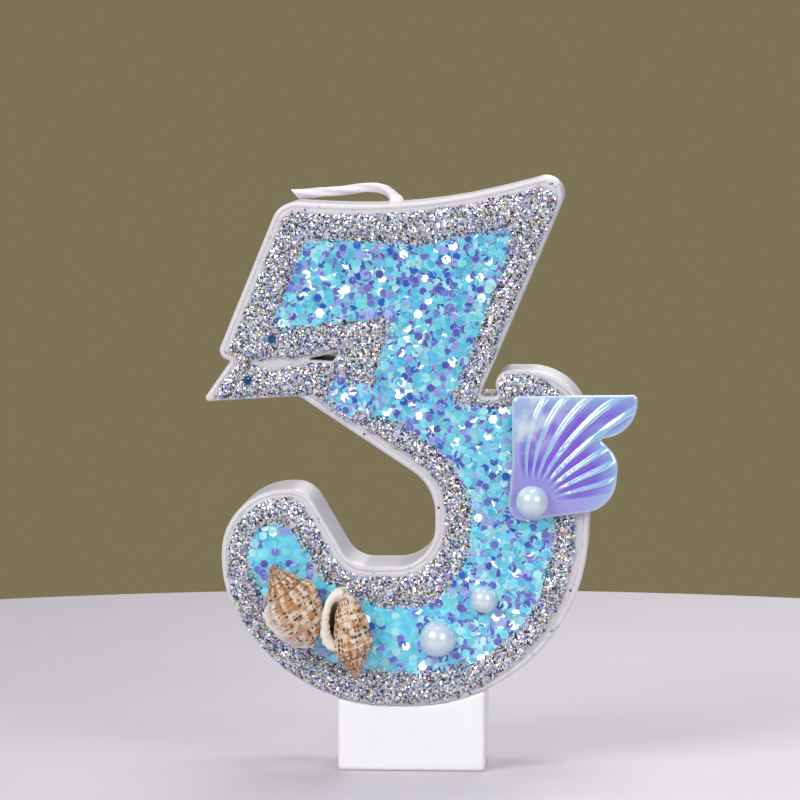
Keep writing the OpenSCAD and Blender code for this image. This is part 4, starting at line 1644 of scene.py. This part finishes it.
@dataclass
class Wick:
    """Waxed braided wick that bends over to the left and rests near the top."""

    radius: float = 0.55 * MM
    strands: int = 3
    pitch: float = 14 * MM

    def route(self) -> Array:
        """The wick's middle line, from inside the wax to the tip."""
        low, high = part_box("wick")
        root_x = high.x - 0.55 * MM
        top = high.z - 0.62 * MM
        surface = top - 1.75 * MM
        tip_x = low.x + 0.45 * MM
        knots = np.array(
            [
                (root_x + 0.1 * MM, surface - 1.2 * MM),
                (root_x, surface + 0.15 * MM),
                (root_x - 0.6 * MM, surface + 1.1 * MM),
                (root_x - 1.7 * MM, top - 0.05 * MM),
                (root_x - 3.2 * MM, top),
                (root_x - 5.8 * MM, top - 0.32 * MM),
                (root_x - 8.6 * MM, top - 0.62 * MM),
                (tip_x, top - 0.78 * MM),
            ]
        )
        line = np.column_stack([knots[:, 0], np.zeros(len(knots)), knots[:, 1]])
        for _ in range(4):
            ahead = np.roll(line, -1, axis=0)
            points = [line[0]]
            for a, b in zip(line[:-1], ahead[:-1]):
                points += [a * 0.75 + b * 0.25, a * 0.25 + b * 0.75]
            points.append(line[-1])
            line = np.array(points)
        return line

    def build(self) -> None:
        """Makes the wick with its twisted strands and slanted end."""
        line = self.route()
        steps = np.concatenate([[0], np.cumsum(np.linalg.norm(np.diff(line, axis=0), axis=1))])
        total = steps[-1]
        places = np.linspace(0, total, 190)
        path = np.column_stack([np.interp(places, steps, line[:, i]) for i in range(3)])
        along = np.gradient(path, axis=0)
        along /= np.linalg.norm(along, axis=1, keepdims=True)
        side = np.tile([[0.0, 1.0, 0.0]], (len(path), 1))
        up = np.cross(side, along)
        angle = np.linspace(0, 2 * math.pi, 40, endpoint=False)
        twist = 2 * math.pi * places / self.pitch
        strand = np.cos(self.strands * (angle[None, :] + twist[:, None]) / 2) ** 2
        melt = np.clip((places - 1.2 * MM) / (1.4 * MM), 0, 1)[:, None]
        swell = 1 + 0.75 * np.exp(-((places - 1.25 * MM) / (0.55 * MM)) ** 2)[:, None]
        wobble = 1 + 0.05 * ripple(path, 2.4 * MM, 61)[:, None]
        reach = self.radius * wobble * swell * (1 + 0.13 * melt * (strand - 0.5))
        rings = path[:, None, :] + reach[..., None] * (
            np.cos(angle)[None, :, None] * side[:, None, :] + np.sin(angle)[None, :, None] * up[:, None, :]
        )
        slant = np.clip((places - total + 1.1 * MM) / (1.1 * MM), 0, 1)
        rings += along[:, None, :] * (slant[:, None] * np.sin(angle)[None, :] * 0.45 * MM)[..., None]
        # groove: where the cotton carries painted shade, between the strands
        groove = np.clip(1 - strand * 1.3, 0, 1) * melt
        mesh = capped_tube(rings, {"groove": groove}).outward()
        cotton = WaxedCotton("Waxed cotton", roughness=0.5, coat=0.2, coat_roughness=0.3)
        fitted(mesh.placed("braided_wick", cotton.build()), Slot.WICK, "wick")


# -------------------------------------------------------------------- stage


@dataclass(frozen=True)
class Lamp:
    """A square soft light aimed at the candle."""

    name: str
    place: tuple[float, float, float]
    size: float
    power: float
    colour: Colour

    def build(self) -> None:
        """Hangs the light."""
        lamp = bpy.data.lights.new(self.name, "AREA")
        lamp.shape = "SQUARE"
        lamp.size = self.size
        lamp.energy = self.power
        lamp.color = self.colour
        piece = bpy.data.objects.new(self.name, lamp)
        piece.location = self.place
        aim = Vector((0, 0, 0.036)) - Vector(self.place)
        piece.rotation_euler = aim.to_track_quat("-Z", "Y").to_euler()
        bpy.context.scene.collection.objects.link(piece)


@dataclass
class Studio:
    """Pale round table, soft lights and the camera."""

    distance: float = 0.5
    azimuth: float = 3.5
    elevation: float = 4.5
    picture_width: float = 92 * MM
    table_radius: float = 0.17

    def build(self) -> None:
        """Makes the table, the lights, the air and the camera."""
        self.table()
        Lamp("key", (-0.34, -0.42, 0.40), 0.34, 2.75, (1.0, 0.99, 0.97)).build()
        Lamp("right", (0.36, -0.40, 0.26), 0.24, 1.25, (0.97, 0.98, 1.0)).build()
        Lamp("top", (0.02, 0.08, 0.60), 0.26, 1.2, (1.0, 1.0, 1.0)).build()
        Lamp("rear", (0.10, 0.50, 0.30), 0.24, 0.8, (1.0, 0.98, 0.96)).build()
        self.air()
        self.camera()

    def table(self) -> None:
        """The plain pale floor."""
        profile = ((0.3, 0.0), (0.98, 0.0), (1.0, 0.002), (1.0, 0.008), (0.3, 0.01))
        rings = turned_solid([(self.table_radius * r, y) for r, y in profile], 96)
        swapped = rings[..., [0, 2, 1]] * [1, 1, -1]
        material, bench, shader = Finish("Table", roughness=0.55).surface()
        cloud = bench.scaled(bench.noise(30 * MM), 0.3, 0.7, 0.0, 1.0)
        bench.feed(shader.inputs["Base Color"], bench.mix(cloud, (0.65, 0.61, 0.66), (0.62, 0.58, 0.63)))
        floor = capped_tube(swapped).placed("table", material, smooth=40)

    def air(self) -> None:
        """Neutral surroundings: a warm grey behind, a soft grey light."""
        world = bpy.data.worlds.new("Studio air")
        bpy.context.scene.world = world
        world.use_nodes = True
        bench = Bench(world.node_tree)
        background = next(n for n in world.node_tree.nodes if n.type == "BACKGROUND")
        seen = bench.add("ShaderNodeLightPath").outputs["Is Camera Ray"]
        bench.feed(background.inputs["Color"], bench.mix(seen, (0.21, 0.21, 0.23), (0.205, 0.172, 0.095)))
        background.inputs["Strength"].default_value = 1.0
        bpy.context.scene.view_settings.view_transform = "Standard"

    def camera(self) -> None:
        """The camera, level with the candle's middle and a little above."""
        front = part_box("wax_numeral")[0].y
        target = Vector((-1.3 * MM, front, 43.1 * MM))
        turn, rise = math.radians(self.azimuth), math.radians(self.elevation)
        way = Vector((math.sin(turn) * math.cos(rise), -math.cos(turn) * math.cos(rise), math.sin(rise)))
        data = bpy.data.cameras.new("camera")
        data.sensor_width = 36.0
        data.lens = 36.0 * self.distance / self.picture_width
        data.clip_start = 0.01
        piece = bpy.data.objects.new("camera", data)
        piece.location = target + way * self.distance
        piece.rotation_euler = (-way).to_track_quat("-Z", "Y").to_euler()
        bpy.context.scene.collection.objects.link(piece)
        bpy.context.scene.camera = piece


def main() -> None:
    """Builds the candle piece by piece."""
    logging.basicConfig(level=logging.INFO, format="%(name)s: %(message)s")
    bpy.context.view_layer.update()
    Studio().build()
    numeral = WaxNumeral()
    numeral.build()
    GlitterBorder(numeral).build()
    SequinPool(numeral).build()
    FanShell().build()
    lacquer = PearlLacquer("Pearl lacquer", roughness=0.26, coat=0.6, coat_roughness=0.1).build()
    glue = ClearGlue("Pearl glue", roughness=0.12, coat=1.0, colour=(0.25, 0.72, 0.84)).build()
    for node, ringed in (("fan_pearl", False), ("large_pearl", True), ("small_pearl", True)):
        HalfPearl(node, ringed=ringed).build(lacquer, glue)
    SnailPair().build()
    Wick().build()


if __name__ == "__main__":
    main()
